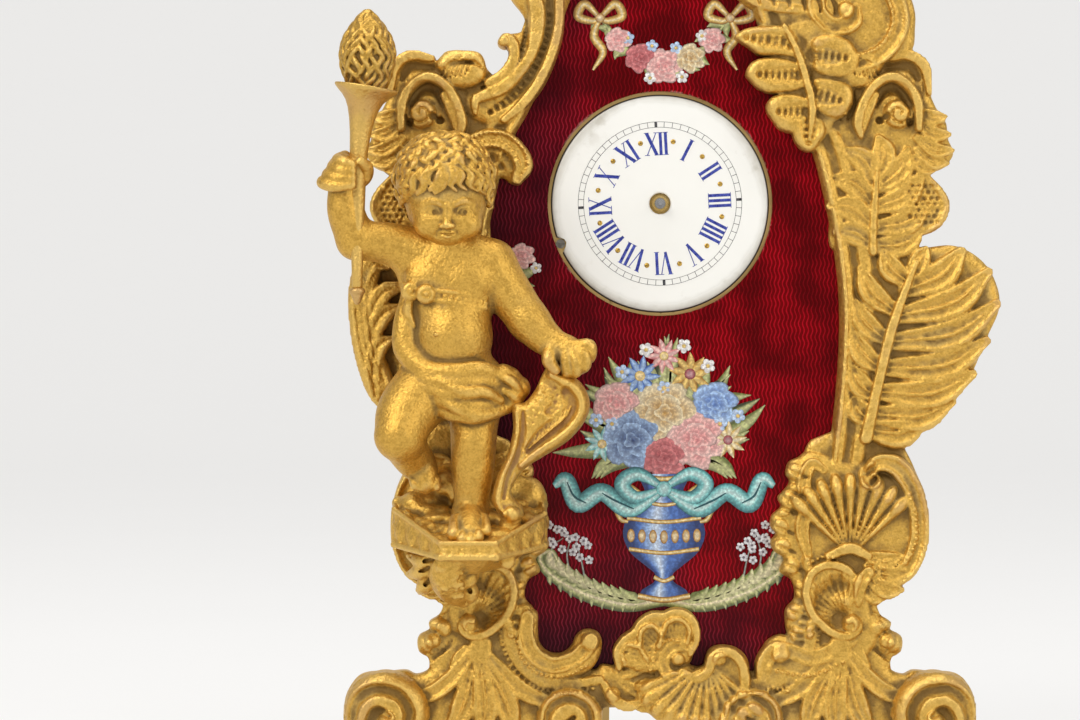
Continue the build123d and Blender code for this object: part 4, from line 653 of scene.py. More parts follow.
# Flank with a shell between two C-scrolls, the scalloped edge down to the lower corner, and the feet
for sheet.flip in (False, True):
    sheet.plate([(500, 452), (522, 458), (531, 463), (534, 474), (530, 482), (536, 491), (542, 498),
        (539, 507), (548, 516), (549, 527), (544, 534), (549, 542), (546, 551), (536, 559), (540, 572),
        (528, 581), (525, 598), (534, 610), (534, 626), (531, 645), (540, 662), (565, 674), (603, 670),
        (612, 690), (604, 706), (600, 728), (588, 746), (558, 747), (538, 730), (520, 738), (480, 747),
        (450, 740), (430, 730), (420, 747), (362, 748), (345, 730), (344, 703), (351, 685), (364, 674),
        (391, 672), (406, 671), (416, 675), (428, 670), (428, 658), (419, 652), (418, 637), (429, 630),
        (429, 622), (439, 615), (443, 604), (437, 599), (422, 594), (414, 580), (403, 569), (398, 555),
        (396, 520), (420, 480)], 2.4, 1.8, 2.8)
    sheet.fan(470, 556, 17.0, 40, 140, 9, 1.5)
    sheet.band([(452, 556, 0.7), (470, 548), (492, 556, 0.7)], 1.4, 4.6, 1.3, 0.0)
    sheet.band([(454, 480, 0.5), (444, 464, 0.8), (424, 466), (408, 488), (401, 516), (402, 544), (414, 570),
        (440, 588, 0.7)], 2.3, 3.6, 2.0, 0.5)
    sheet.spiral(448, 478, 3.2, 90, -420, 0.5, 0.8, 1.2)
    sheet.beads([(411, 492), (404, 516), (405, 544), (416, 566)], 0.5, 1.15, 0.8)
    sheet.band([(496, 470, 0.5), (508, 464, 0.8), (516, 480), (514, 505), (518, 530), (512, 556, 0.6)], 1.7,
        3.6, 1.7, 0.4)
    for x, y in ((526, 472), (529, 491), (537, 508), (540, 528), (538, 547), (529, 566), (522, 590),
            (526, 612), (524, 634)):
        sheet.dome(x, y, 2.0, 0.9)
        sheet.ridge([(x - 14, y + 6, 0.5), (x - 4, y + 2), (x + 5, y - 2, 0.4)], 0.7, -0.7)
    sheet.ridge([(514, 560), (508, 584), (506, 608), (512, 640)], 1.4, 1.1)
    for x, y, size in ((434, 622, 2.0), (424, 644, 2.2), (433, 640, 1.8), (424, 662, 1.9), (440, 606, 2.0),
            (444, 628, 1.8)):
        sheet.dome(x, y, size, 1.4)
    sheet.dome(398, 680, 2.2, 1.6)
    sheet.leaf([((452, 556), (420, 556)), ((452, 566), (413, 572)), ((452, 578), (418, 590)),
        ((454, 584), (438, 599))], 2.2, 4.0, 1.5)
    sheet.band([(452, 572, 0.8), (460, 584), (462, 604, 0.4)], 1.7, 4.8, 1.4, 0.3)
    for i in range(16):
        sheet.dome(436 + 5 * (i % 4), 562 + 6 * (i // 4), 0.45, 0.45)
    for i in range(12):
        sheet.ridge([(452 - 3 * i, 640 + 2 * i, 0.4), (450 - 3 * i, 646 + 2 * i),
            (444 - 3 * i, 652 + 2.4 * i, 0.4)], 0.4, -0.5)
    sheet.band([(453, 667, 0.6), (460, 657), (466, 648, 0.6)], 1.5, 4.0, 1.4, 0.3)
    # Shell cup with its ball
    sheet.plate([(452, 632), (448, 610), (452, 588), (468, 571), (489, 563), (510, 570), (518, 594),
        (510, 618), (490, 638), (470, 642)], 3.6, 1.4, 2.0)
    sheet.ridge([(484, 586, 0.8), (494, 600), (484, 616, 0.8)], 4.0, -2.4)
    sheet.fan(474, 620, 10.0, -28, 112, 14, 0.55)
    sheet.band([(458, 588, 0.6), (474, 569), (494, 565), (509, 574), (514, 594), (507, 615), (489, 632),
        (472, 636), (462, 628), (466, 618), (473, 620, 0.8)], 1.0, 4.4, 1.6, 0.0)
    sheet.dome(470, 623, 1.9, 1.5)
    sheet.beads([(482, 559), (498, 557), (513, 565)], 0.45, 1.0, 0.7)
    # Tie, and the bands that spread from it over the foot
    sheet.plate([(470, 638), (490, 638), (492, 656), (484, 664), (474, 664), (466, 656)], 4.2, 1.2, 1.2)
    sheet.band([(468, 657, 0.7), (454, 676), (434, 692), (404, 702, 0.7)], 2.0, 4.0, 1.6, 0.45)
    sheet.band([(490, 658, 0.7), (508, 678), (528, 694), (556, 704, 0.7)], 2.0, 4.0, 1.5, 0.45)
    sheet.leaf([((474, 664), (448, 736)), ((486, 664), (514, 736)), ((480, 662), (481, 742))], 3.0, 3.8, 1.8,
        0.06)
    # Foot: a rolled scroll with a spiral on its face
    sheet.plate([(346, 712), (350, 692), (364, 677), (386, 671), (408, 678), (424, 694), (428, 714),
        (422, 734), (408, 747), (366, 747), (351, 734)], 6.8, 3.4, 4.0)
    sheet.ridge([(352, 730, 0.6), (356, 702), (374, 688), (398, 692), (410, 710), (404, 730), (386, 736),
        (372, 724), (378, 710), (390, 714, 0.5)], 1.7, -1.9)
    sheet.dome(388, 716, 1.8, 1.6)
    sheet.plate([(538, 722), (544, 700), (562, 688), (582, 690), (598, 704), (602, 724), (592, 746),
        (552, 747)], 5.2, 2.6, 3.2)
    sheet.ridge([(544, 736, 0.5), (550, 708), (568, 698), (586, 706), (590, 724), (578, 734), (568, 724),
        (574, 716, 0.5)], 1.2, -1.5)
    sheet.band([(506, 622, 0.8), (512, 648), (530, 674), (560, 684), (600, 680, 0.7)], 1.5, 3.8, 1.3, 0.0)
    sheet.beads([(500, 634), (506, 656), (524, 680), (556, 692), (596, 688)], 0.45, 1.0, 0.7)
sheet.flip = False

# Hook scroll at the plaque's lower left corner, with a beaded edge and a knob at its end
sheet.plate([(524, 612), (537, 612), (538, 630), (540, 644), (550, 653), (563, 653), (572, 645), (576, 636),
    (585, 630), (597, 632), (602, 642), (599, 658), (588, 672), (566, 682), (542, 680), (524, 668),
    (515, 650), (514, 630)], 3.4, 1.8, 2.2)
sheet.band([(527, 616, 0.7), (526, 638), (534, 655), (553, 665), (574, 659), (586, 648), (591, 640, 0.9)],
    2.1, 4.0, 1.9, 0.45)
sheet.beads([(516, 640), (523, 659), (540, 674), (564, 676), (586, 666)], 0.45, 1.05, 0.8)
sheet.dome(590, 641, 2.1, 1.4)

# Bottom shells: a scallop that turns up over the plaque, a ribbed one that turns down, and a knob scroll
sheet.plate([(598, 668), (617, 666), (640, 660), (680, 662), (700, 668), (745, 672), (800, 668), (850, 640),
    (880, 650), (850, 705), (740, 706), (735, 715), (712, 724), (680, 724), (650, 714), (628, 705),
    (600, 706)], 2.2, 1.8, 2.6)
sheet.plate([(617, 666), (615, 652), (622, 640), (631, 633), (638, 622), (650, 614), (663, 614), (674, 610),
    (688, 613), (696, 623), (698, 637), (694, 652), (686, 666), (650, 676)], 3.2, 2.0, 2.2)
sheet.fan(676, 662, 11.4, 62, 200, 22, 0.4)
for cell in ([(624, 664), (621, 651), (628, 644), (639, 647), (646, 658)],
        [(640, 644), (641, 630), (651, 625), (660, 633), (659, 646)],
        [(662, 634), (667, 622), (680, 619), (689, 628), (688, 642)]):
    sheet.ridge(cell, 0.8, 1.0)
sheet.band([(619, 668, 0.7), (617, 652), (624, 640), (634, 633), (641, 623), (652, 616), (664, 616),
    (675, 612), (687, 615), (695, 625), (696, 640), (690, 654, 0.7)], 0.95, 4.2, 1.6, 0.0)
for shift in (0, 5):
    sheet.beads([(690 - shift, 648), (680 - shift, 640), (668 - shift, 640), (658 - shift, 648),
        (653 - shift, 662), (658 - shift, 678)], 0.42, 0.95, 0.6)
sheet.band([(690, 648, 0.5), (678, 645), (667, 652), (663, 666), (672, 676), (690, 678), (704, 670, 0.6)],
    1.5, 4.4, 1.6, 0.35)
sheet.dome(678, 659, 1.5, 1.4)
sheet.band([(604, 684, 0.7), (612, 698), (628, 706), (646, 700, 0.6)], 1.3, 3.8, 1.5, 0.0)
sheet.dome(613, 694, 1.7, 1.2)
sheet.leaf([((668, 690), (622, 684)), ((668, 698), (628, 702))], 2.0, 3.4, 1.3, 0.1)
sheet.plate([(636, 702), (640, 684), (660, 674), (684, 664), (697, 672), (706, 664), (708, 652), (718, 646),
    (736, 648), (748, 660), (749, 684), (742, 706), (724, 722), (690, 727), (656, 720)], 3.6, 2.0, 2.2)
sheet.fan(706, 660, 15.6, 196, 322, 11, 0.9)
sheet.band([(682, 670, 0.6), (696, 678), (708, 670), (712, 657), (722, 651), (735, 655), (743, 668),
    (744, 688), (736, 708, 0.6)], 1.2, 5.0, 1.5, 0.0)
sheet.dome(719, 658, 1.6, 1.2)
sheet.plate([(756, 706), (752, 684), (760, 668), (762, 652), (768, 641), (782, 635), (800, 641), (820, 642),
    (846, 628), (872, 612), (884, 630), (862, 664), (820, 690), (780, 690), (774, 706)], 3.2, 1.8, 2.4)
sheet.band([(764, 690, 0.6), (764, 666), (775, 650), (792, 652), (814, 658), (842, 645), (868, 624, 0.6)],
    2.0, 3.8, 1.8, 0.3)
sheet.dome(780, 653, 2.1, 1.2)
sheet.beads([(776, 670), (794, 674), (816, 674), (842, 662)], 0.45, 1.05, 0.8)
sheet.beads([(758, 692), (774, 688), (792, 692)], 0.42, 1.0, 0.7)
sheet.band([(770, 694, 0.6), (764, 704), (760, 714, 0.4)], 1.3, 4.0, 1.4, 0.3)

# Shoulder at the upper right and the crest: a shell between two scrolls
shoulder = [framed(30, 150), (420, 60), (404, 24), (412, -10), (440, -34), (480, -44)]
crest = [(506, -60), (506, -84), (520, -112), (550, -128), (582, -136), (600, -160), (626, -180),
    (660, -187), (690, -180), (690, -60), (600, -36), (566, -20)]
for sheet.flip in (False, True):
    if sheet.flip:
        sheet.plate(shoulder + crest + [(545, -4), (530, 40), (548, 40)], 2.2, 1.8, 3.0)
    else:
        sheet.plate(crest + [(530, -30)], 2.2, 1.8, 3.0)
    sheet.band([(600, -60, 0.6), (578, -36, 0.9), (546, -38), (522, -60), (518, -92), (540, -116),
        (572, -118), (590, -98), (584, -76), (566, -72), (558, -84, 0.5)], 2.3, 3.2, 2.1, 0.4)
    sheet.dome(566, -88, 1.9, 1.6)
    sheet.leaf([((606, -62), (574, -24)), ((612, -60), (596, -30))], 2.4, 3.0, 1.5, 0.1)
sheet.flip = True
sheet.band([(520, 34, 0.6), (506, 58, 0.9), (470, 64), (436, 52), (420, 22), (432, -12), (466, -30),
    (496, -18), (504, 8), (488, 26), (468, 22), (464, 8, 0.5)], 2.2, 3.2, 2.0, 0.45)
sheet.beads([(470, 58), (442, 46), (428, 20), (438, -8), (466, -22)], 0.45, 1.1, 0.7)
sheet.dome(474, 10, 1.9, 1.7)
sheet.flip = False
sheet.fan(660, -88, 21.4, 24, 156, 11, 2.0)
sheet.band([(640, -70, 0.6), (644, -96), (660, -106), (676, -96), (680, -70, 0.6)], 1.2, 4.2, 1.5, 0.0)
sheet.dome(660, -84, 2.8, 2.0)

# Broad lobed leaf that hangs over the plaque at the upper right, with smooth rims and rows of punched beads,
# and the leaf edge above it
sheet.plate([(728, -20), (740, 0), (758, 11), (784, 15), (806, 19), (832, 24), (856, 6), (880, -30),
    (840, -60), (760, -50)], 2.0, 1.6, 2.4)
sheet.band([(736, -12, 0.6), (760, 3), (796, 9), (834, 12, 0.6)], 1.3, 3.2, 1.3, 0.0)
for i in range(6):
    sheet.ridge([(748 + 16 * i, -24 + 3 * i, 0.5), (756 + 16 * i, -8 + 3 * i),
        (760 + 15 * i, 4 + 2 * i, 0.5)], 0.6, -0.8)
sheet.plate([(812, 20), (786, 27), (778, 50), (784, 90), (790, 120), (800, 148), (816, 146), (838, 112),
    (850, 60), (838, 26)], 4.0, 0.6, 2.0)
lobes = (
    ((798, 44), (746, 38), [(734, 38), (745, 29), (765, 26), (785, 27), (802, 40), (800, 57), (778, 56),
        (760, 55), (748, 47)]),
    ((804, 76), (760, 75), [(746, 76), (750, 64), (762, 58), (782, 58), (804, 66), (810, 84), (792, 92),
        (770, 93), (755, 86)]),
    ((808, 112), (780, 112), [(768, 114), (767, 103), (776, 95), (796, 94), (812, 102), (814, 124),
        (796, 133), (778, 128)]),
    ((810, 118), (808, 142), [(792, 126), (796, 143), (808, 152), (818, 145), (826, 128), (814, 112),
        (800, 114)]),
    ((814, 56), (844, 58), [(810, 42), (826, 34), (848, 40), (860, 60), (850, 76), (830, 78), (812, 68)]),
    ((816, 94), (838, 100), [(812, 80), (830, 78), (850, 86), (852, 104), (838, 118), (820, 114),
        (812, 100)]),
)
for (ax, ay), (bx, by), lobe in lobes:
    sheet.plate(lobe, 4.2, 1.5, 1.4)
    sheet.ridge([(ax, ay, 1.2), ((ax + bx) / 2, (ay + by) / 2, 1.1), (bx, by, 0.6)], 2.0, -1.1)
    run = math.hypot(bx - ax, by - ay)
    for row in (-1, 0, 1):
        shift_x, shift_y = -5.5 * row * (by - ay) / run, 5.5 * row * (bx - ax) / run
        sheet.beads([(ax + shift_x, ay + shift_y), (bx + shift_x * 0.4, by + shift_y * 0.4)], 0.55, 1.25,
            0.65)
sheet.band([(784, 26, 0.6), (797, 52, 0.9), (806, 80), (812, 108), (809, 140, 0.5)], 0.9, 5.2, 1.0, 0.0)
sheet.grit(0.055)
sheet.press(-1.6)
casting = wax.cast("front_frame_casting", gilt)
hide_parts("front_frame")
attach(casting, "case")

# Bracket of the same gilt bronze casting: a many-sided shelf whose rocky ground falls to the front.
# Its rim is chased with a low leaf on each facet, and it narrows below into the body of the flank.
ledge = [(-58.0, -1.0), (-58.0, 13.0), (-47.6, 28.0), (-35.8, 28.0), (-25.4, 15.0), (-25.4, -1.0)]
shelf_front, shelf_top, shelf_under = 28.0, 46.5, 43.2
shelf_fall, under_fall = 0.45, 0.14
wax = Wax((-63, plaque_y - 29.6, 26), (-20, plaque_y + 2, 66), 0.34)
cells, (x, y, z) = wax.patch(np.array([-62, plaque_y - 29, 26]), np.array([-21, plaque_y + 0.4, 65]))
forward = np.clip(plaque_y - y, 8.0, shelf_front)
plan = np.full((x.size, y.size, 1), -9.0, np.float32)
for (ax, af), (bx, bf) in zip(ledge, ledge[1:]):
    run = math.hypot(bx - ax, bf - af)
    plan = np.maximum(plan, ((plaque_y - y - af) * (bx - ax) - (x - ax) * (bf - af)) / run)
rough = 0.5 * np.sin(x * 1.1 + y * 0.5) * np.sin(y * 0.9) + 0.3 * np.sin(x * 2.3 - y) * np.sin(y * 2.1 + x)
top = shelf_top - 0.3 + shelf_fall * (shelf_front - forward) + rough * np.clip((26 - forward) / 4, 0, 1)
under = shelf_under + under_fall * (shelf_front - forward)
wax.work(cells, np.maximum(np.maximum(plan, z - top), under - z), 0.5, False)
wax.work(cells, np.maximum(np.maximum(plan + 2.0 + np.maximum(under - z, 0) * 1.4, z - under - 1), 27 - z),
    1.4, False)


def rim_line(height, share):
    """The rim's corners at a height that grows by a share behind the front edge."""
    return [(x, plaque_y - f, height + share * (shelf_front - max(f, 8.0))) for x, f in ledge]


low_rim, high_rim = rim_line(shelf_under + 0.3, under_fall), rim_line(shelf_top, shelf_fall)
for line, size in ((low_rim, 0.75), (high_rim, 0.55)):
    for a, b in zip(line, line[1:]):
        wax.bar([a, b], size, 0.4, pieces=2)
for i in range(len(ledge) - 1):
    run = math.dist(low_rim[i], low_rim[i + 1])
    count = max(1, round(run / 4.6))
    for leaf in range(count):
        for lean in (-1.7, -0.8, 0, 0.8, 1.7):
            points = []
            for along, up in ((0, 0.1), (lean * 0.7, 0.45), (lean, 0.8 - 0.12 * abs(lean))):
                share = (leaf + 0.5) / count + along / run
                foot = np.array(low_rim[i]) + (np.array(low_rim[i + 1]) - low_rim[i]) * share
                head = np.array(high_rim[i]) + (np.array(high_rim[i + 1]) - high_rim[i]) * share
                points.append(tuple(foot + (head - foot) * up + np.array([0, 0.25, 0])))
            wax.bar(points, [0.45, 0.6, 0.35], 0.3, pieces=3)
rocks = random.Random(3)
for i in range(46):
    across, back = rocks.uniform(404, 538), rocks.uniform(7, 23)
    if 0.9 * (back - 13) > 12 - abs(across - 472) * 0.16:
        continue
    rock = spot(across, 0, back)
    ground = shelf_top + shelf_fall * (shelf_front - max(back, 8.0)) - rocks.uniform(0.4, 0.9)
    size = [rocks.uniform(1.4, 3.2), rocks.uniform(1.2, 2.6), rocks.uniform(0.8, 1.5)]
    wax.lump((rock[0], rock[1], ground), size, 1.0)
for across, down, f, size in ((436, 494, 8, (4.6, 3, 5)), (420, 504, 9, (4, 3, 3)), (448, 486, 7, (4, 3, 5)),
        (506, 492, 7, (5, 3, 5)), (530, 500, 7, (3.6, 3, 5))):
    wax.lump(spot(across, down, f), size, 1.2)
for i in range(16):
    across, down = rocks.uniform(408, 456), rocks.uniform(474, 512)
    rock = spot(across, max(down, 478 + 0.9 * (440 - across)), rocks.uniform(9.0, 11.5))
    wax.lump(rock, [rocks.uniform(1.2, 2.4) for _ in range(3)], 1.0)

# Bosses round the figure's stud and the leaf scroll's pin, where they come through the shelf
for name in ("figure_stud", "scroll_pin"):
    low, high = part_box(name)
    foot = [1000 * (low[0] + high[0]) / 2, 1000 * (low[1] + high[1]) / 2, 1000 * low[2]]
    wax.bar([(foot[0], foot[1], foot[2] + 0.4), (foot[0], foot[1], foot[2] + 7)],
        500 * (high[0] - low[0]) + 0.9, 0.8, pieces=2)

# Husk under the shelf: a rough seed head that hangs before the flank, between two leaves
wax.bar(trail((448, 560, 20), (448, 573, 17.5), (452, 588, 13.5), (463, 603, 9.5)), [3.4, 4.2, 3.4, 1.0], 1.0)
for i in range(90):
    across, down = rocks.uniform(431, 466), rocks.uniform(562, 598)
    if abs(across - 448 - 0.3 * max(0, down - 580)) < 15 - 0.22 * max(0, down - 575):
        wax.lump(spot(across, down, wax.front(across, down) - 0.1), rocks.uniform(0.4, 0.7), 0.25)
for leaf in ([(440, 557, 21), (424, 561, 17), (409, 556, 12)],
        [(438, 562, 19.5), (422, 571, 15.5), (409, 574, 11)],
        [(438, 572, 17), (426, 584, 13.5), (420, 592, 10)],
        [(466, 558, 21), (482, 563, 17), (500, 561, 12)],
        [(462, 580, 16), (470, 592, 12.5), (466, 604, 9.5)]):
    wax.bar(trail(*leaf), [1.2, 1.9, 0.7], 0.5, 0.7)
    wax.bar(trail(*[(x, y, f + 1.5) for x, y, f in leaf]), [0.3, 0.5, 0.2], 0.3, cut=True)
bracket = wax.cast("bracket_casting", gilt)
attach(bracket, "case")


# Figure of a child: a separate gilt bronze casting, pinned to the bracket, with a torch in the raised hand.
# The hair is chased in locks, a beaded strap crosses the belly and a cloth is knotted at the hip.
wax = Wax((-78, plaque_y - 31, 44.5), (-12, plaque_y - 3, 139), 0.3)
wax.lump(spot(450, 278, 16), (11.2, 6.4, 9.6), 2.0)
wax.bar(trail((412, 256, 15.6), (450, 252, 15.6), (492, 264, 15.6)), [4.8, 5.4, 5.0], 2.0)
wax.lump(spot(450, 300, 16.2), (9.4, 6.6, 8), 2.0)
wax.lump(spot(453, 336, 17), (8.6, 7.6, 9.4), 2.0)
wax.lump(spot(458, 384, 15.6), (10.6, 7.2, 8), 2.0)
for x in (428, 470):
    wax.lump(spot(x, 279, 20.2), (4.8, 2.4, 4), 1.5)
wax.lump(spot(436, 334, 25.2), 0.9, 0.5, True)
wax.lump(spot(436, 334.5, 24.2), 0.5, 0.2)
wax.bar(trail((448, 254, 15.6), (448, 230, 16.4)), [5.2, 4.6], 1.6)

# Raised arm with its fist round the torch
wax.bar(trail((414, 250, 15.6), (386, 243, 16.6), (357, 240, 17.6)), [5.0, 4.5, 4.1], 1.6)
wax.bar(trail((356, 240, 17.6), (346, 212, 18.6), (343, 188, 19.4)), [4.2, 4.0, 3.2], 1.4)
wax.lump(spot(343, 174, 19.6), (3.8, 4.2, 4.4), 1.0)
for i in range(4):
    wax.bar(trail((345 - 6 * i, 156 + 8 * i, 17.5), (338 - 5 * i, 160 + 7.5 * i, 21.5),
        (343 - 3 * i, 162 + 8 * i, 24.0), (352, 164 + 7 * i, 24.6)), [1.25, 1.4, 1.3, 1.0], 0.3, pieces=4)
wax.bar(trail((350, 186, 18), (364, 178, 19.5), (367, 168, 21.5), (361, 161, 23.6)), [1.8, 1.6, 1.4, 1.1],
    0.4)

# Lowered arm with its hand on the leaf scroll
wax.bar(trail((491, 264, 15.6), (512, 297, 16.2), (530, 322, 17.4)), [5.2, 4.9, 4.3], 1.6)
wax.bar(trail((528, 320, 17.4), (542, 335, 18.4), (554, 344, 19.4)), [4.4, 3.9, 3.2], 1.2)
wax.lump(spot(565, 350, 20), (4.6, 3.2, 3.4), 0.8, lean=-25)
for x, y, f in ((589, 360, 21.6), (584, 369, 22.4), (576, 374, 22.6), (567, 375, 22)):
    wax.bar(trail((564 + (x - 564) * 0.5, 347, 21.6), (x, y - 14, f + 0.4), (x + 1, y - 4, f),
        (x - 3, y + 1, f - 1.2)), [1.6, 1.5, 1.35, 1.0], 0.35, pieces=4)
wax.bar(trail((552, 348, 21), (549, 360, 22.4), (555, 370, 22.4)), [1.8, 1.6, 1.2], 0.5)

# Standing leg, bent leg and their feet
wax.bar(trail((474, 395, 16), (474, 425, 16.8), (473, 462, 16.8), (472, 496, 16), (470, 522, 16)),
    [6.6, 5.2, 4.7, 3.8, 3.8], 1.4)
wax.lump(spot(474, 440, 19.6), (3.4, 2.4, 4), 1.6)
wax.bar(trail((470, 514, 15.4), (470, 524, 20.5), (470, 533, 24.0)), [3.9, 3.6, 2.6], 1.2, 0.9)
for x, tip, f, size in ((454, 535, 25.4, 1.5), (462.5, 540.5, 26.6, 1.25), (470.5, 541.5, 26.8, 1.2),
        (478.5, 538.5, 26.4, 1.15), (486.5, 532.5, 25.2, 1.05)):
    wax.bar(trail((470 + (x - 470) * 0.85, tip - 15, f - 4.0), (x, tip - 6, f - 0.8), (x, tip - 1.5, f)),
        [size, size * 0.9, size * 1.05], 0.25)
wax.bar(trail((428, 386, 16), (408, 412, 19), (400, 434, 22)), [7.2, 6.7, 5.4], 1.8)
wax.lump(spot(399, 438, 22), (5.0, 4.8, 4.6), 1.2)
wax.bar(trail((402, 440, 20.5), (413, 458, 16), (421, 468, 13.6)), [4.8, 4.2, 3.4], 1.2)
wax.bar(trail((419, 462, 13.6), (424, 474, 15.6), (426, 483, 16.8)), [3.6, 3.1, 2.4], 0.9)
for i in range(5):
    wax.bar(trail((414 + 5.4 * i, 480, 16.6), (415 + 5.4 * i, 486 + 1.2 * (i % 3), 17.6)), [1.15, 0.95], 0.3)

# Cloth: it wraps the left side of the belly, falls across the hips in folds and is knotted on the right
wax.bar(trail((411, 300, 17.6), (406, 325, 18.4), (408, 350, 19), (428, 372, 21)), [2.4, 2.8, 3.0, 2.6], 0.9)
for shift, depth, size in ((0, 0, 1.9), (10, 1.2, 1.7), (20, 1.5, 1.7), (30, 0.9, 1.6), (40, -0.2, 1.5)):
    points = trail((402 + shift * 0.3, 350 + shift * 0.5, 18.5 + depth * 0.4),
        (424 + shift * 0.4, 368 + shift, 21.6 + depth * 0.6),
        (454 + shift * 0.3, 372 + shift * 1.1, 23.2 + depth * 0.4),
        (482, 370 + shift * 1.15, 22.4), (508, 378 + shift * 0.7, 18.6))
    wax.bar(points, [size * 0.8, size, size * 1.1, size, size * 0.9], 0.7)
wax.bar(trail((440, 380, 24.2), (462, 392, 25), (484, 392, 24), (500, 400, 21.5)), [0.9, 1.4, 1.3, 0.9], 0.5)
wax.bar(trail((432, 392, 22.4), (456, 408, 24.2), (482, 415, 23), (508, 408, 19)), [1.0, 1.3, 1.4, 1.2], 0.5)
wax.bar(trail((421, 304, 24), (416, 330, 24.4), (421, 352, 25), (440, 367, 26), (464, 367, 26),
    (484, 360, 24.5)), [0.5, 0.9, 1.0, 1.0, 0.9, 0.6], 0.6, 1.0, True)
for x, y, f, size in ((508, 380, 18.5, 3.0), (518, 388, 17.6, 2.7), (512, 398, 18, 2.6),
        (503, 374, 19.6, 2.2)):
    wax.lump(spot(x, y, f), size, 0.7)
wax.bar(trail((500, 376, 21.5), (512, 382, 21.4), (521, 394, 19.6)), [0.8, 1.1, 0.8], 0.4)
wax.bar(trail((504, 390, 21), (514, 396, 20.4), (518, 404, 19)), [0.8, 1.1, 0.8], 0.4)

# Strap below the chest with its two-ringed clasp
for shift in (-5, 5):
    wax.bar(trail((404, 289 + shift, 19.6), (428, 294 + shift, 22.2), (456, 298 + shift, 22.9),
        (486, 303 + shift, 20.2)), 0.5, 0.25)
wax.beads(trail((430, 294.5, 22.4), (456, 298.5, 23), (486, 303.5, 20.4)), 0.5, 1.15)
for x, y, f in ((411, 291, 21.6), (426, 294, 22.8)):
    wax.lump(spot(x, y, f), (2.2, 1.4, 2.2), 0.4)
    wax.lump(spot(x, y, f + 1.6), (1.1, 0.9, 1.1), 0.4, True)
    wax.lump(spot(x, y, f + 0.9), 0.6, 0.2)
wax.bar(trail((410, 298, 21), (408, 312, 20.6), (414, 326, 20.8)), [0.9, 1.0, 0.4], 0.4)
skin = gilding("figure_gilding", (0.69, 0.415, 0.082))
child = wax.cast("child_casting", skin, 1.0)
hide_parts("putto_figure")
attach(child, "case")

# Head, in a finer grain: a heart-shaped face, round cheeks, small features set low, short waving locks
wax = Wax((-60.5, plaque_y - 29, 107), (-33.5, plaque_y - 5, 138.5), 0.2)
wax.lump(spot(444, 178, 15.8), (10.25, 9.05, 9.95), 1.0)
wax.lump(spot(446, 205, 17.6), (8.6, 7.4, 7.9), 1.2)
wax.bar(trail((447, 246, 15.8), (447, 226, 16.4)), [5.0, 4.6], 1.2)
for side in (-1, 1):
    wax.lump(spot(448 + side * 18, 224, 21.2), (3.4, 2.8, 3.0), 1.8)
    wax.lump(spot(446 + side * 43, 197, 14.6), (1.2, 1.9, 2.5), 0.5)
    wax.lump(spot(446 + side * 45, 197, 16.4), (0.6, 0.9, 1.3), 0.3, True)
wax.lump(spot(447.5, 232, 20.2), (3.6, 3.2, 2.6), 2.0)
wax.lump(spot(448.5, 237.4, 20.4), (2.5, 2.4, 1.3), 1.4)


def on_skin(*places):
    """Points on the face; the third number is how far each stands out of it."""
    return trail(*[(x, y, wax.front(x, y) + out) for x, y, out in places])


for side in (-1, 1):
    eye = 448.5 + side * 15.5
    wax.lump(spot(eye, 211, wax.front(eye, 211) + 0.7), (2.3, 1.35, 1.5), 0.8, True)
    wax.lump(spot(eye, 212, wax.front(eye, 212) - 0.7), (1.75, 1.3, 1.3), 0.2)
    wax.bar(on_skin((eye - side * 7.5, 213, 0), (eye - side * 3.5, 207.8, 0.1),
        (eye + side * 3.5, 207.6, 0.1), (eye + side * 8.5, 212.6, 0)), [0.2, 0.36, 0.36, 0.2], 0.2, pieces=5)
    wax.bar(on_skin((eye - side * 7, 214.2, -0.1), (eye, 217, 0), (eye + side * 7.5, 213.8, -0.1)),
        [0.16, 0.26, 0.16], 0.2)
    wax.lump(spot(eye + 1.2, 212.2, wax.front(eye + 1.2, 212.2) + 0.1), (0.5, 0.4, 0.55), 0.1, True)
    wax.bar(on_skin((eye - side * 8, 204.4, -0.3), (eye, 201, -0.2), (eye + side * 10, 204.6, -0.4)),
        [0.4, 0.55, 0.3], 1.0)
wax.bar(on_skin((447, 205, -0.5), (447, 215, -0.35), (447, 222, 0.3), (447, 225, 0.5)),
    [0.5, 0.75, 0.9, 0.95], 0.7)
for side in (-1, 1):
    wax.lump(spot(447 + side * 4.6, 226.4, wax.front(447 + side * 4.6, 226.4) + 0.1), (0.8, 0.8, 0.65), 0.4)
    wax.lump(spot(447 + side * 2.5, 229, wax.front(447 + side * 2.5, 229) + 0.05), 0.32, 0.2, True)
    wax.bar(on_skin((447 + side * 6, 229, 0.1), (447 + side * 10, 232, 0.1), (447 + side * 11, 236, 0.1)),
        [0.2, 0.28, 0.2], 0.6, cut=True)
wax.bar(on_skin((440.5, 233.6, -0.1), (444.5, 232.2, 0), (447.5, 232.8, 0), (450.5, 232.2, 0),
    (454.5, 233.6, -0.1)), [0.2, 0.42, 0.36, 0.42, 0.2], 0.3, pieces=5)
wax.bar(on_skin((442.5, 235.6, -0.1), (447.5, 236.6, 0), (452.5, 235.6, -0.1)), [0.2, 0.46, 0.2], 0.3)
wax.bar(on_skin((440, 234, 0.1), (447.5, 234.4, 0.1), (455, 234, 0.1)), 0.2, 0.15, cut=True)
crown = np.array([0.1, -0.35, 0.93])
crown /= np.linalg.norm(crown)
locks = random.Random(7)


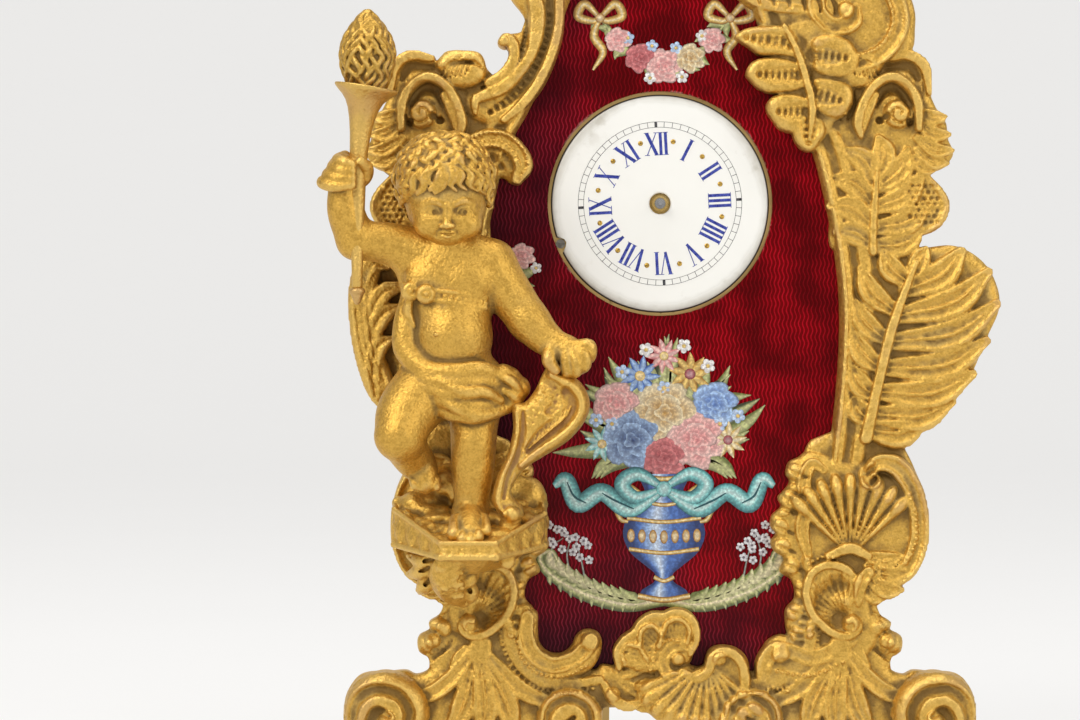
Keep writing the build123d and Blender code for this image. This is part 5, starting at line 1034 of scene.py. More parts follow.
def lock(root, length, swirl, curl, lift, size):
    """A lock of three strands on the skull, away from the crown, that curls at its end."""
    away = (crown @ root) * root - crown
    away /= max(np.linalg.norm(away), 1e-6)
    across = np.cross(root, away)
    for strand in (-1, 0, 1):
        places = []
        for i in range(7):
            run = i / 6
            side = swirl * run + curl * math.sin(3.6 * run) + 0.058 * strand * (1 - 0.7 * run**2)
            way = root + away * length * run * (1 - 0.25 * run) + across * side
            rise = 1.0 + lift * math.sin(math.pi * run * 0.9) - 0.012 * abs(strand)
            way = way / np.linalg.norm(way) * rise
            places.append((444 + 46.5 * way[0], 178 - 45.3 * way[2], 15.8 + 8.9 * way[1]))
        if any(y > (186 + 0.0085 * (x - 446) ** 2 if f > 17 else 208) for x, y, f in places):
            return
        wax.bar(trail(*places), [size * s for s in (0.5, 0.85, 1.0, 1.0, 0.9, 0.7, 0.3)], 0.12, pieces=3)


for i in range(300):
    up = 1 - 1.75 * (i + 0.5) / 300
    turn = i * 2.39996
    root = np.array([math.cos(turn) * math.sqrt(1 - up * up), math.sin(turn) * math.sqrt(1 - up * up), up])
    lock(root, locks.uniform(0.36, 0.52), locks.uniform(-0.22, 0.22), locks.choice((-0.16, -0.1, 0.1, 0.16)),
        locks.uniform(0.03, 0.1), locks.uniform(0.42, 0.52))
for fringe in (
        ((446, 166), (440, 176), (436, 185), (429, 190)), ((448, 166), (444, 177), (442, 186), (434, 193)),
        ((450, 165), (454, 175), (450, 184), (456, 190)), ((454, 166), (461, 174), (458, 183), (466, 189)),
        ((460, 166), (470, 174), (468, 184), (477, 190)), ((470, 168), (480, 177), (478, 188), (486, 194)),
        ((432, 168), (424, 178), (424, 187), (416, 194)), ((424, 170), (414, 180), (413, 190), (405, 197)),
        ((416, 174), (406, 186), (406, 196), (400, 204)), ((480, 174), (488, 184), (486, 194), (490, 203))):
    for strand in (-3, 0, 3):
        places = []
        for i, (x, y) in enumerate(fringe):
            near = max(0.05, 1 - ((x - 444) / 47) ** 2 - ((y - 180) / 50) ** 2)
            out = 15.8 + 9.3 * math.sqrt(near) + 0.35 * (i % 2)
            places.append((x + strand * (1 - 0.25 * i), y + 0.4 * strand, out))
        wax.bar(trail(*places), [0.45, 0.55, 0.5, 0.22], 0.12, pieces=5)
head = wax.cast("child_head_casting", skin, 0.8)
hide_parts("putto_figure")
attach(head, "case")


# Torch: a turned trumpet of gilt brass in the raised fist, with a chased flame and a copper ferrule.
# The flame sits in the mouth like a cone of many small tongues.
def turned(name, finish, foot, profile, bow=0.0, bow_from=0.0, sides=56):
    """A turned piece on its foot, from heights and radii; bow bends its upper end to the right."""
    reach = max(far for far, _ in profile)
    points, faces = [], []
    for far, radius in profile:
        share = max(0.0, far - bow_from) / (reach - bow_from)
        lean = math.atan(2 * bow * share / (reach - bow_from))
        middle = (foot[0] + bow * share**2, foot[1], foot[2] + far)
        for i in range(sides):
            turn = 2 * math.pi * i / sides
            side, out = max(radius, 0.02) * math.cos(turn), max(radius, 0.02) * math.sin(turn)
            points.append((middle[0] + side * math.cos(lean), middle[1] + out,
                middle[2] - side * math.sin(lean)))
    for row in range(len(profile) - 1):
        for i in range(sides):
            j = (i + 1) % sides
            faces.append((row * sides + i, row * sides + j, (row + 1) * sides + j, (row + 1) * sides + i))
    faces.append(tuple(range(sides))[::-1])
    faces.append(tuple(range((len(profile) - 1) * sides, len(profile) * sides)))
    return solid(name, points, faces, finish)


torch_foot = (-65.7, plaque_y - 20.5, 101.0)
torch_profile = [(0, 1.0), (0.2, 1.15), (4, 1.2), (12.4, 1.5), (17, 1.65), (22, 1.8), (26, 1.9), (29.5, 2.0),
    (33.3, 2.3), (36.4, 2.8), (38.6, 3.4), (40.1, 4.1), (41.2, 5.0), (42.0, 5.95), (42.6, 6.6), (43.0, 6.9),
    (43.3, 6.8), (43.3, 6.4), (42.8, 6.0), (41.8, 5.0), (41.3, 3.4), (41.3, 0.1)]
torch_gilt = gilding("torch_gilding", (0.6, 0.36, 0.075))
torch = turned("torch_trumpet", torch_gilt, torch_foot, torch_profile, 2.0, 19.0)
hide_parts("torch")
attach(torch, "case")
copper = gilding("ferrule_copper", (0.42, 0.22, 0.12))
ferrule_profile = [(0, 0.35), (0.5, 0.7), (1.8, 1.25), (2.3, 1.45), (2.5, 1.7), (3.0, 1.75), (3.3, 1.6),
    (3.5, 1.4)]
ferrule = turned("torch_tip", copper, (torch_foot[0], torch_foot[1], torch_foot[2] - 3.5), ferrule_profile)
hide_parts("torch_ferrule")
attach(ferrule, "case")

flame_x, flame_y, flame_z = -63.5, torch_foot[1], torch_foot[2] + 41.0
wax = Wax((flame_x - 8, flame_y - 8, flame_z - 1), (flame_x + 8, flame_y + 8, flame_z + 20.5), 0.2)
flame_rise = [0, 2.2, 4.4, 6.6, 10.0, 12.8, 15.2, 17.2, 18.4]
flame_girth = [3.0, 3.8, 4.7, 5.4, 5.7, 4.9, 3.4, 1.8, 0.5]
flame_core = [radius - 0.4 for radius in flame_girth[:-1]] + [0.1]
wax.bar([(flame_x, flame_y, flame_z + far) for far in flame_rise], flame_core, 0.3)
tongues = random.Random(11)
for row in range(8):
    start = 0.3 + 2.1 * row
    count = max(5, int(2 * math.pi * float(np.interp(start + 2, flame_rise, flame_girth)) / 1.75))
    for i in range(count):
        turn = 2 * math.pi * (i + 0.5 * (row % 2) + tongues.uniform(-0.2, 0.2)) / count
        lean = tongues.choice((-1, 1)) * tongues.uniform(0.5, 1.1)
        points = []
        for k in range(6):
            up = start + 1.05 * k
            reach = float(np.interp(up, flame_rise, flame_girth)) - 0.45 + 0.5 * math.sin(math.pi * k / 5.5)
            angle = turn + lean * math.sin(1.15 * k) / max(reach, 1.2)
            reach = max(reach, 0.1)
            points.append((flame_x + reach * math.cos(angle), flame_y + reach * math.sin(angle),
                flame_z + min(up, 18.6)))
        wax.bar(points, [0.3, 0.55, 0.62, 0.58, 0.42, 0.18], 0.12, pieces=3)
flame = wax.cast("torch_fire", gilding("flame_gilding", (0.58, 0.35, 0.07)), 0.7)
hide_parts("torch_flame")
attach(flame, "case")

# Leaf scroll under the lowered hand: one gilt casting, pinned to the bracket beside the standing foot.
# Its stem rises from a rolled bulb and opens into a turned-over leaf with a punched inside.
wax = Wax((-40, plaque_y - 25.5, 45), (-12, plaque_y - 14, 88), 0.26)
sheet = Sheet(wax, 20.0)
sheet.height += 17.0
sheet.plate([(512, 524), (499, 514), (492, 500), (497, 477), (507, 455), (513, 430), (513, 405), (525, 402),
    (535, 390), (543, 373), (549, 366), (560, 374), (577, 379), (587, 392), (590, 406), (586, 419),
    (577, 432), (564, 444), (541, 458), (527, 467), (518, 477), (511, 491), (515, 500), (522, 507),
    (523, 518)], 19.8, 2.6, 2.6)
sheet.ridge([(551, 374, 0.6), (566, 380), (580, 392), (583, 406), (578, 420), (564, 435), (540, 452),
    (522, 466, 0.6)], 1.7, 1.2)
sheet.ridge([(566, 392, 0.7), (570, 406), (562, 420), (544, 434), (528, 450, 0.5)], 2.0, -1.2)
sheet.ridge([(546, 384, 0.7), (556, 396), (552, 410, 0.8)], 2.4, -1.0)
sheet.ridge([(516, 412, 0.7), (516, 432), (511, 454), (501, 478), (497, 500), (503, 514, 0.7)], 1.0, 0.9)
sheet.ridge([(523, 412, 0.6), (523, 432), (518, 454), (508, 478), (504, 498, 0.6)], 0.9, -0.7)
for i in range(26):
    sheet.dome(527 + 5.6 * (i % 6) + 2.6 * (i // 6 % 2), 396 + 7 * (i // 6) - 1.6 * (i % 6), 0.42,
        -0.25 if i % 2 else 0.3)
for i in range(9):
    sheet.ridge([(524 + 4.4 * i, 452 - 3.6 * i, 0.5), (531 + 4.4 * i, 446 - 3.8 * i),
        (536 + 4.4 * i, 436 - 3.8 * i, 0.4)], 0.45, 0.5)
sheet.dome(512, 515, 2.1, 1.6)
sheet.press(17.4)
wax.bar(trail((511, 518, 19.6), (509, 530, 19.6), (508, 542, 19.6)), [2.2, 2.4, 2.4], 0.8)
# The leaf scroll's hollows take a lighter brown, for their dirt and painted shade.
leaf_piece = wax.cast("leaf_scroll_casting", gilding("leaf_scroll_gilding", dark=(0.27, 0.13, 0.045)), 0.9)
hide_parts("leaf_scroll")
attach(leaf_piece, "case")

# Plaque: a copper sheet, engine-turned in wavy lines under clear red enamel, glossy; its colour is painted
# darker and purple towards the left and the bottom, as painted shade and reflection of the frame.
# It is held between the frame's rim and the plate behind. The solid from the source is right as it is,
# so it only takes the enamel. Small chips show at the dial's hole.
enamel, shade, shader = fresh("red_enamel_on_wavy_ground")
place = shade.node("ShaderNodeTexCoord", {}, {}, 3)
across = shade.node("ShaderNodeSeparateXYZ", {}, {"Vector": place}, 0)
up = shade.node("ShaderNodeSeparateXYZ", {}, {"Vector": place}, 2)
cloud = shade.node("ShaderNodeTexNoise", {}, {"Vector": place, "Scale": 32.0, "Detail": 3.0})
patch = shade.node("ShaderNodeTexNoise", {}, {"Vector": place, "Scale": 85.0, "Detail": 3.0})
speck = shade.node("ShaderNodeTexNoise", {}, {"Vector": place, "Scale": 900.0, "Detail": 3.0})
swing = shade.sum("SINE", up * 2100.0 + (cloud - 0.5) * 9.0, 0.0)
wave = shade.sum("SINE", across * 7000.0 + swing * 1.4 + (patch - 0.5) * 5.0, 0.0)
glow = step(patch, 0.36, 0.66)
ridge = step(wave + (speck - 0.5) * 1.1, 0.2, 1.0) * (0.2 + glow * 0.8)
# Painted shade and reflection: the enamel and its engine-turned lines go dark purple towards the left and the
# bottom.
depth = step(across + (cloud - 0.5) * 0.07, -0.046, 0.004) * step(up + (cloud - 0.5) * 0.05, 0.012, 0.042)
red = mixed(glow, (0.08, 0.0006, 0.0015, 1), (0.16, 0.001, 0.0025, 1))
body = mixed(depth, (0.034, 0.002, 0.007, 1), red)
line = mixed(depth, (0.12, 0.014, 0.03, 1), (0.42, 0.004, 0.014, 1))
tint = mixed(ridge, body, line)
hole = shade.node("ShaderNodeCombineXYZ", {}, {0: across, 1: up - 0.12})
hole = shade.node("ShaderNodeVectorMath", {"operation": "LENGTH"}, {0: hole}, 1)
chip = step(speck * 0.5 + patch * 0.5, 0.53, 0.58) * (1 - step(hole + (speck - 0.5) * 0.0012, 0.0245, 0.0252))
tint = mixed(chip * 0.7, tint, (0.4, 0.27, 0.22, 1))
feed(shader, tint, "Base Color")
feed(shader, 0.2 + chip * 0.4 + (patch - 0.5) * 0.1, "Roughness")
shader.inputs["Metallic"].default_value = 0.3
shader.inputs["Coat Weight"].default_value = 0.08
shader.inputs["Coat Roughness"].default_value = 0.06
shader.inputs["Specular IOR Level"].default_value = 0.04
height = wave * 0.6 + cloud * 2.0
bump = shade.node("ShaderNodeBump", {}, {"Strength": 0.2, "Distance": 0.0002, "Height": height})
feed(shader, bump, "Normal")
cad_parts["enamel_plaque"].data.materials.clear()
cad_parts["enamel_plaque"].data.materials.append(enamel)

# Painted enamel on the plaque: a garland at the top, and a blue vase of flowers on a green leaf scroll.
# Each stroke is opaque enamel, fired on top of the red, so it stands a little proud, darker at its edge.
paint, shade, shader = fresh("painted_enamel")
own = shade.node("ShaderNodeAttribute", {"attribute_name": "paint"}, {}, 0)
place = shade.node("ShaderNodeTexCoord", {}, {}, 3)
brush = shade.node("ShaderNodeTexNoise", {}, {"Vector": place, "Scale": 1500.0, "Detail": 4.0})
pale = shade.node("ShaderNodeMix", {"data_type": "RGBA", "blend_type": "MULTIPLY"},
    {0: 1.0, 6: own, 7: (0.6, 0.58, 0.6, 1)}, 2)
feed(shader, mixed(step(brush, 0.42, 0.66), pale, own), "Base Color")
feed(shader, 0.24 + brush * 0.16, "Roughness")
shader.inputs["Coat Weight"].default_value = 0.3
bump = shade.node("ShaderNodeBump", {}, {"Strength": 0.3, "Distance": 0.0001, "Height": brush})
feed(shader, bump, "Normal")
paint_points, paint_faces, paint_colours = [], [], []


def toned(first, second, share):
    return tuple(a + (b - a) * share for a, b in zip(first, second))


def dab(outline, inside, outside, lift, heart=None):
    """One dab of paint: a closed outline in photograph places, its colour running from a heart to its rim."""
    heart = heart or (sum(p[0] for p in outline) / len(outline), sum(p[1] for p in outline) / len(outline))
    first, count = len(paint_points), len(outline)
    paint_points.append(spot(*heart, lift + 0.09))
    paint_colours.append(inside)
    for share, rise, colour in ((0.5, 0.085, toned(inside, outside, 0.45)), (0.86, 0.06, outside),
            (1.0, 0.0, toned(outside, (0.02, 0.01, 0.01), 0.6))):
        for x, y in outline:
            paint_points.append(spot(heart[0] + (x - heart[0]) * share, heart[1] + (y - heart[1]) * share,
                lift + rise))
            paint_colours.append(colour)
    for i in range(count):
        j = (i + 1) % count
        paint_faces.append((first, first + 1 + j, first + 1 + i))
        for ring in range(2):
            base = first + 1 + ring * count
            paint_faces.append((base + i, base + j, base + count + j, base + count + i))


def strip(places, widths, tones, lift):
    """A brush stroke through photograph places, with half widths along it and a row of tones across it."""
    line = smooth_line([(x, 0, y) for x, y in places], widths, 8)
    first, count = len(paint_points), len(tones)
    for i, p in enumerate(line):
        ahead = line[min(i + 1, len(line) - 1)] - line[max(i - 1, 0)]
        size = math.hypot(ahead[0], ahead[2]) or 1.0
        for k, tone in enumerate(tones):
            side = (2 * k / (count - 1) - 1) * max(p[3], 0.1)
            paint_points.append(spot(p[0] - ahead[2] / size * side, p[2] + ahead[0] / size * side,
                lift + 0.06 * (1 - (2 * k / (count - 1) - 1) ** 2)))
            paint_colours.append(tone)
    for i in range(len(line) - 1):
        for k in range(count - 1):
            at = first + count * i + k
            paint_faces.append((at, at + 1, at + count + 1, at + count))


def blade(x, y, angle, length, width, dark, light, lift=0.05, bend=0.15):
    """A small leaf or slim petal from its root, darker on one side of its vein."""
    turn = math.radians(angle)
    ahead, side = (math.cos(turn), -math.sin(turn)), (math.sin(turn), math.cos(turn))
    places = [(x + length * (s * ahead[0] + bend * math.sin(math.pi * s) * side[0]),
        y + length * (s * ahead[1] + bend * math.sin(math.pi * s) * side[1])) for s in (0, 0.35, 0.7, 1.0)]
    strip(places, [width * 0.2, width, width * 0.75, width * 0.05], (toned(dark, (0, 0, 0), 0.5), dark,
        toned(dark, light, 0.7), light, toned(light, dark, 0.4), toned(dark, (0, 0, 0), 0.4)), lift)


def rose(x, y, size, deep, pale, turn=0):
    """A full flower of round petals in three rings."""
    for ring, (far, big, count) in enumerate(((0.6, 0.47, 6), (0.33, 0.38, 5), (0.1, 0.24, 3))):
        for i in range(count):
            angle = math.radians(turn + 360 * (i + 0.5 * ring) / count)
            px, py = x + far * size * math.cos(angle), y + far * size * math.sin(angle)
            outline = []
            for k in range(14):
                t = 2 * math.pi * k / 14
                reach = big * size * (1 + 0.12 * math.cos(3 * t + i))
                outline.append((px + reach * math.cos(t + angle), py + reach * 0.9 * math.sin(t + angle)))
            dab(outline, deep, toned(pale, deep, 0.12 * (i % 3)), 0.06 + 0.045 * ring + 0.012 * i,
                (x + far * size * 0.35 * math.cos(angle), y + far * size * 0.35 * math.sin(angle)))


def daisy(x, y, size, deep, pale, centre, count=8, turn=0):
    """An open flower of slim petals round a button."""
    for i in range(count):
        blade(x, y, turn + 360 * i / count, size, size * 0.2, deep, pale, 0.07 + 0.01 * (i % 2), 0.03)
    dab([(x + size * 0.26 * math.cos(a), y + size * 0.26 * math.sin(a)) for a in np.linspace(0, 5.6, 10)],
        toned(centre, (1, 1, 1), 0.3), centre, 0.16)


def buds(x, y, size, colour, centre):
    """A forget-me-not: five round petals and an eye."""
    for i in range(5):
        a = 1.2566 * i + x
        px, py = x + size * 0.6 * math.cos(a), y + size * 0.6 * math.sin(a)
        dab([(px + size * 0.42 * math.cos(t), py + size * 0.42 * math.sin(t))
            for t in np.linspace(0, 5.5, 8)], toned(colour, (1, 1, 1), 0.35), colour, 0.1)
    dab([(x + size * 0.28 * math.cos(t), y + size * 0.28 * math.sin(t)) for t in np.linspace(0, 5.5, 8)],
        centre, centre, 0.18)


navy, blue, sky = (0.012, 0.035, 0.16), (0.07, 0.17, 0.5), (0.42, 0.6, 0.86)
gold, straw, cream = (0.5, 0.26, 0.04), (0.8, 0.58, 0.18), (0.86, 0.76, 0.5)
wine, rose_pink, blush = (0.34, 0.05, 0.06), (0.72, 0.24, 0.24), (0.86, 0.58, 0.52)
white_paint = (0.82, 0.81, 0.78)
sea, turquoise, ice = (0.01, 0.1, 0.12), (0.2, 0.56, 0.55), (0.6, 0.84, 0.8)
moss, olive, lime = (0.05, 0.07, 0.02), (0.2, 0.24, 0.06), (0.56, 0.58, 0.26)
gold_tones = (toned(gold, (0, 0, 0), 0.6), gold, straw, cream, straw, gold, toned(gold, (0, 0, 0), 0.6))
ribbon_tones = (sea, turquoise, toned(turquoise, ice, 0.6), ice, turquoise, toned(sea, turquoise, 0.5), sea)

vase_x = 664


def beside(way, *places):
    """Places to the left (-1) or the right (1) of the vase's axis."""
    return [(vase_x + way * x, y) for x, y in places]


# Garland at the top, hung from two gold bows
strip([(602, 20), (628, 52), (664, 66), (700, 52), (728, 20)], [2.0] * 5, (moss, olive, lime, olive, moss),
    0.04)
for i in range(22):
    share = i / 21
    x, y = 600 + 130 * share, 20 + 46 * math.sin(math.pi * share)
    blade(x, y, 250 + 90 * math.sin(i * 2.4), 17, 4.2, olive, lime, 0.045)
for x, y, size, deep, pale in ((618, 40, 13, rose_pink, blush), (640, 58, 15, wine, rose_pink),
        (664, 66, 18, rose_pink, blush), (690, 58, 15, gold, cream), (712, 40, 13, rose_pink, blush)):
    rose(x, y, size, deep, pale, x % 60)
for x, y in ((628, 38), (652, 46), (676, 48), (702, 36), (650, 78), (682, 77)):
    buds(x, y, 6.5, white_paint if x % 4 else sky, straw)
for x, way in ((600, -1), (730, 1)):
    for side in (-1, 1):
        loop = [(x, 18), (x + 15 * side, 4), (x + 22 * side, 16), (x + 8 * side, 21), (x, 18)]
        strip(loop, [2.2, 4.4, 4.6, 3.6, 2.0], gold_tones, 0.1)
    strip([(x, 18), (x + 6 * way, 36), (x - 3 * way, 52), (x + 7 * way, 70)], [2.2, 4.4, 4.0, 1.2],
        gold_tones, 0.08)
    dab([(x + 5 * math.cos(t), 18 + 5 * math.sin(t)) for t in np.linspace(0, 5.6, 9)], cream, gold, 0.2)

# Scroll of leaves under the vase, with white sprigs at both ends
for way in (-1, 1):
    strip(beside(way, (0, 600), (40, 604), (84, 592), (116, 572), (124, 556), (112, 552), (106, 562)),
        [6, 8, 7, 5, 4, 3, 1.5], (moss, olive, lime, cream, lime, olive, moss), 0.05)
    for i in range(9):
        x, y = vase_x + way * (18 + 11 * i), 601 - 0.004 * (11 * i) ** 2
        blade(x, y, 90 - way * (62 - 5 * i), 30 - i, 8, olive, toned(lime, cream, 0.1 * i), 0.06, 0.2 * way)
        blade(x, y, 270 + way * (50 - 3 * i), 17, 5, moss, lime, 0.05, -0.2 * way)
    for i in range(3):
        x, y = vase_x + way * (78 + 15 * i), 586 - 8 * i
        strip([(x, y), (x + 4 * way, y - 22), (x + (9 - 8 * i) * way, y - 42 + 5 * i)], [1.1, 0.9, 0.6],
            (moss, (0.4, 0.42, 0.4), moss), 0.05)
        for k in range(5):
            bud_x = x + (4 - 2 * i) * way + 7 * math.cos(k * 1.9 + i)
            bud_y = y - 26 - 6.5 * k * 0.8 + 3 * math.sin(k * 2.2)
            buds(bud_x, bud_y, 4.6, (0.62, 0.62, 0.64), (0.2, 0.16, 0.18))

# Vase with gold bands and handles
body_tones = (navy, navy, blue, toned(blue, sky, 0.7), (0.66, 0.78, 0.92), toned(blue, sky, 0.5), blue, blue,
    toned(blue, navy, 0.5), navy, navy)
vase_heights = (474, 482, 492, 502, 516, 534, 552, 566, 574, 582, 590, 598)
vase_halves = [27, 23, 19, 22, 36, 41, 34, 18, 9, 10, 22, 25]
strip([(vase_x, y) for y in vase_heights], vase_halves, body_tones[::-1], 0.12)
for y, half, thick in ((475, 28, 2.6), (501, 22, 2.0), (518, 37, 2.2), (549, 35, 2.2), (577, 10, 2.2),
        (596, 26, 3.0)):
    strip([(vase_x - half, y), (vase_x, y + 4), (vase_x + half, y)], [thick] * 3, gold_tones, 0.2)
for i in range(7):
    x = vase_x + 11 * (i - 3)
    dab([(x + 4 * math.cos(t), 537 - 0.5 * abs(i - 3) + 7 * math.sin(t)) for t in np.linspace(0, 5.7, 11)],
        cream, gold, 0.2)
for way in (-1, 1):
    strip(beside(way, (20, 496), (38, 486), (50, 498), (44, 518), (36, 522)), [2.2, 3.0, 3.0, 2.6, 1.6],
        gold_tones, 0.16)

# Flowers in the vase, and a ribbon tied round its neck
for i in range(26):
    angle = 8 + 164 * i / 25
    reach = 52 + 26 * math.sin(i * 1.7) ** 2
    blade(vase_x + 34 * math.cos(math.radians(angle)), 452 - 40 * math.sin(math.radians(angle)),
        angle + 16 * math.sin(i * 2.1), reach, 8.0, olive if i % 3 else moss, lime, 0.03, 0.12 * math.sin(i))
for x in (606, 722, 596, 732, 618, 710):
    angle, bend = (200, 0.2) if x < vase_x else (-20, -0.2)
    blade(vase_x + (x - vase_x) * 0.4, 462, angle, 48, 8, olive, lime, 0.04, bend)
for x, y, size, deep, pale in ((632, 440, 30, navy, sky), (696, 440, 30, rose_pink, blush),
        (664, 412, 32, gold, cream), (616, 404, 23, rose_pink, blush), (714, 404, 23, blue, sky),
        (664, 458, 22, wine, rose_pink)):
    rose(x, y, size, deep, pale, y % 60)
for x, y, size, deep, pale, centre in ((640, 376, 21, blue, sky, straw), (690, 374, 22, gold, straw, wine),
        (602, 444, 18, turquoise, ice, straw), (728, 440, 19, toned(straw, gold, 0.4), cream, wine),
        (664, 356, 18, rose_pink, blush, straw)):
    daisy(x, y, size, deep, pale, centre, 9, x % 40)
for x, y in ((622, 372), (708, 366), (596, 420), (738, 416), (646, 350), (684, 346), (612, 424), (720, 424),
        (664, 388)):
    buds(x, y, 7.5, white_paint if y % 4 else sky, straw)
for way in (-1, 1):
    strip(beside(way, (0, 488), (26, 474), (42, 484), (28, 498), (0, 489)), [3, 7, 8, 7, 3],
        ribbon_tones, 0.26)
    strip(beside(way, (0, 490), (34, 510), (62, 492), (86, 504), (98, 480), (110, 486)), [3, 8, 9, 9, 8, 3],
        ribbon_tones, 0.24)
    for crease in (((30, 509), (50, 500), (62, 493)), ((78, 503), (90, 496), (97, 482))):
        strip(beside(way, *crease), [0.6, 1.1, 0.5], (sea, sea, sea), 0.34)
knot = [(vase_x + 8 * math.cos(t), 489 + 8 * math.sin(t)) for t in np.linspace(0, 5.8, 12)]
dab(knot, ice, turquoise, 0.32)

# Small rose sprig beside the child's shoulder
strip([(500, 292), (510, 280), (522, 262)], [1.0, 1.4, 1.0], (moss, olive, lime, olive, moss), 0.05)
for angle in (20, 75, 150, 330):
    blade(514, 274, angle, 24, 5.6, olive, lime, 0.05)
rose(522, 256, 13, rose_pink, blush, 20)
buds(536, 268, 6, white_paint, straw)
flowers = solid("painted_flowers", paint_points, paint_faces, paint)
tone = flowers.data.color_attributes.new("paint", "FLOAT_COLOR", "POINT")
tone.data.foreach_set("color", [value for colour in paint_colours for value in (*colour, 1.0)])
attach(flowers, "case")

# Dial: a slightly domed disc of white enamel on copper, with blue Roman hours, a railway minute track
# and gold dots. One notch near the edge lets the small screw hold it. The face darkens towards the rim and
# ends in a near-black line at its edge.
dial_z = 120.0
dial_lean = math.radians(3.0)


def dome(radius):
    """How far the dial's face stands before the plaque's face at a radius."""
    return 0.12 - 0.5 * (radius / 24) ** 2 - (0.5 * max(0.0, (radius - 23.2) / 0.8) ** 2)


def on_dial(x, z, lift=0.0):
    return (x, plaque_y - dome(math.hypot(x, z)) - lift, dial_z + z)


glaze, shade, shader = fresh("white_dial_enamel")
place = shade.node("ShaderNodeTexCoord", {}, {}, 3)
axes = [shade.node("ShaderNodeSeparateXYZ", {}, {"Vector": place}, i) for i in (0, 2)]
reach = shade.node("ShaderNodeCombineXYZ", {}, {0: axes[0], 1: axes[1] - dial_z / 1000})
reach = shade.node("ShaderNodeVectorMath", {"operation": "LENGTH"}, {0: reach}, 1)
cloud = shade.node("ShaderNodeTexNoise", {}, {"Vector": place, "Scale": 60.0, "Detail": 4.0})
speck = shade.node("ShaderNodeTexNoise", {}, {"Vector": place, "Scale": 500.0, "Detail": 4.0})
rim_darkening = step(reach + (cloud - 0.5) * 0.0035 + (speck - 0.5) * 0.001, 0.0212, 0.0240)
smear = step(cloud * 0.6 + speck * 0.4, 0.56, 0.66) * step(reach, 0.017, 0.022)
face = mixed(cloud, (0.85, 0.85, 0.82, 1), (0.78, 0.78, 0.745, 1))
face = mixed(smear * 0.35, face, (0.5, 0.47, 0.4, 1))
face = mixed(rim_darkening * 0.55, face, (0.3, 0.27, 0.2, 1))
face = mixed(step(reach, 0.02355, 0.0238), face, (0.035, 0.03, 0.026, 1))
feed(shader, face, "Base Color")
feed(shader, 0.16 + rim_darkening * 0.4, "Roughness")
shader.inputs["Coat Weight"].default_value = 0.5
bump = shade.node("ShaderNodeBump", {}, {"Strength": 0.12, "Distance": 0.0003, "Height": cloud})
feed(shader, bump, "Normal")
points, faces = [], []
rings = [2.3, 2.5, 2.8, 5, 8, 11, 14, 17, 20, 22, 23, 23.4, 23.7, 24.0]
sides = 160
notch = math.radians(202)
for ring, radius in enumerate(rings):
    for i in range(sides):
        turn = 2 * math.pi * i / sides
        own = radius
        gap = abs((turn - notch + math.pi) % (2 * math.pi) - math.pi) * radius
        if radius > 20 and gap < 1.35:
            own = min(radius, 23.6 - math.sqrt(1.35**2 - gap**2))
        x, y, z = on_dial(own * math.cos(turn), own * math.sin(turn))
        points.append((x, y + (0.25 if ring == 0 else 0), z))
for i in range(sides):
    x, y, z = points[(len(rings) - 1) * sides + i]
    points.append((x, plaque_y + 1.6, z))
for i in range(sides):
    x, y, z = points[i]
    points.append((x, plaque_y + 1.6, z))
for ring in range(len(rings)):
    for i in range(sides):
        j = (i + 1) % sides
        faces.append((ring * sides + i, (ring + 1) * sides + i, (ring + 1) * sides + j, ring * sides + j))
base = len(rings) * sides
for i in range(sides):
    j = (i + 1) % sides
    faces.append((base + i, base + sides + i, base + sides + j, base + j))
    faces.append((base + sides + i, i, j, base + sides + j))
dial = solid("dial_disc", points, faces, glaze)
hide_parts("dial")
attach(dial, "case")

ink_points, ink_faces = [], []
track_points, track_faces = [], []


def printed(points, faces, outline, lift=0.03):
    """A flat printed shape on the dial from x and z corners, turned with the dial."""
    first = len(points)
    for x, z in outline:
        turned_x = x * math.cos(dial_lean) - z * math.sin(dial_lean)
        turned_z = x * math.sin(dial_lean) + z * math.cos(dial_lean)
        points.append(on_dial(turned_x, turned_z, lift))
    faces.append(tuple(range(first, first + len(outline))))


def stroke(hour_turn, ends, widths):
    """One pen stroke of a numeral: its two ends as side and radius, and its half widths."""
    (ax, ar), (bx, br) = ends
    run = math.hypot(bx - ax, br - ar)
    nx, nr = -(br - ar) / run, (bx - ax) / run
    for part in range(4):
        corners = []
        for share, sign in ((part / 4, 1), ((part + 1) / 4, 1), ((part + 1) / 4, -1), (part / 4, -1)):
            half = widths[0] + (widths[1] - widths[0]) * share
            side = ax + (bx - ax) * share + sign * nx * half
            radius = ar + (br - ar) * share + sign * nr * half
            corners.append((side * math.sin(hour_turn) + radius * math.cos(hour_turn),
                radius * math.sin(hour_turn) - side * math.cos(hour_turn)))
        printed(ink_points, ink_faces, corners)


low, high = 10.7, 15.6
track_in, track_out = 16.8, 18.0
numerals = ("I", "II", "III", "IIII", "V", "VI", "VII", "VIII", "IX", "X", "XI", "XII")
wide = {"I": 1.15, "V": 2.7, "X": 2.8}
for hour, text in enumerate(numerals, 1):
    turn = math.radians(90 - 30 * hour)
    side = -sum(wide[letter] for letter in text) / 2
    for letter in text:
        middle = side + wide[letter] / 2
        left, right = middle - wide[letter] / 2 + 0.35, middle + wide[letter] / 2 - 0.35
        if letter == "I":
            stroke(turn, ((middle, low), (middle, high)), (0.33, 0.33))
            serifs = ((middle, low), (middle, high))
        elif letter == "V":
            stroke(turn, ((middle, low), (left, high)), (0.3, 0.36))
            stroke(turn, ((middle, low), (right, high)), (0.1, 0.1))
            serifs = ((left, high), (right, high))
        else:
            stroke(turn, ((right, low), (left, high)), (0.36, 0.36))
            stroke(turn, ((left, low), (right, high)), (0.1, 0.1))
            serifs = ((left, low), (right, low), (left, high), (right, high))
        for x, radius in serifs:
            stroke(turn, ((x - 0.55, radius), (x + 0.55, radius)), (0.07, 0.07))
        side += wide[letter]
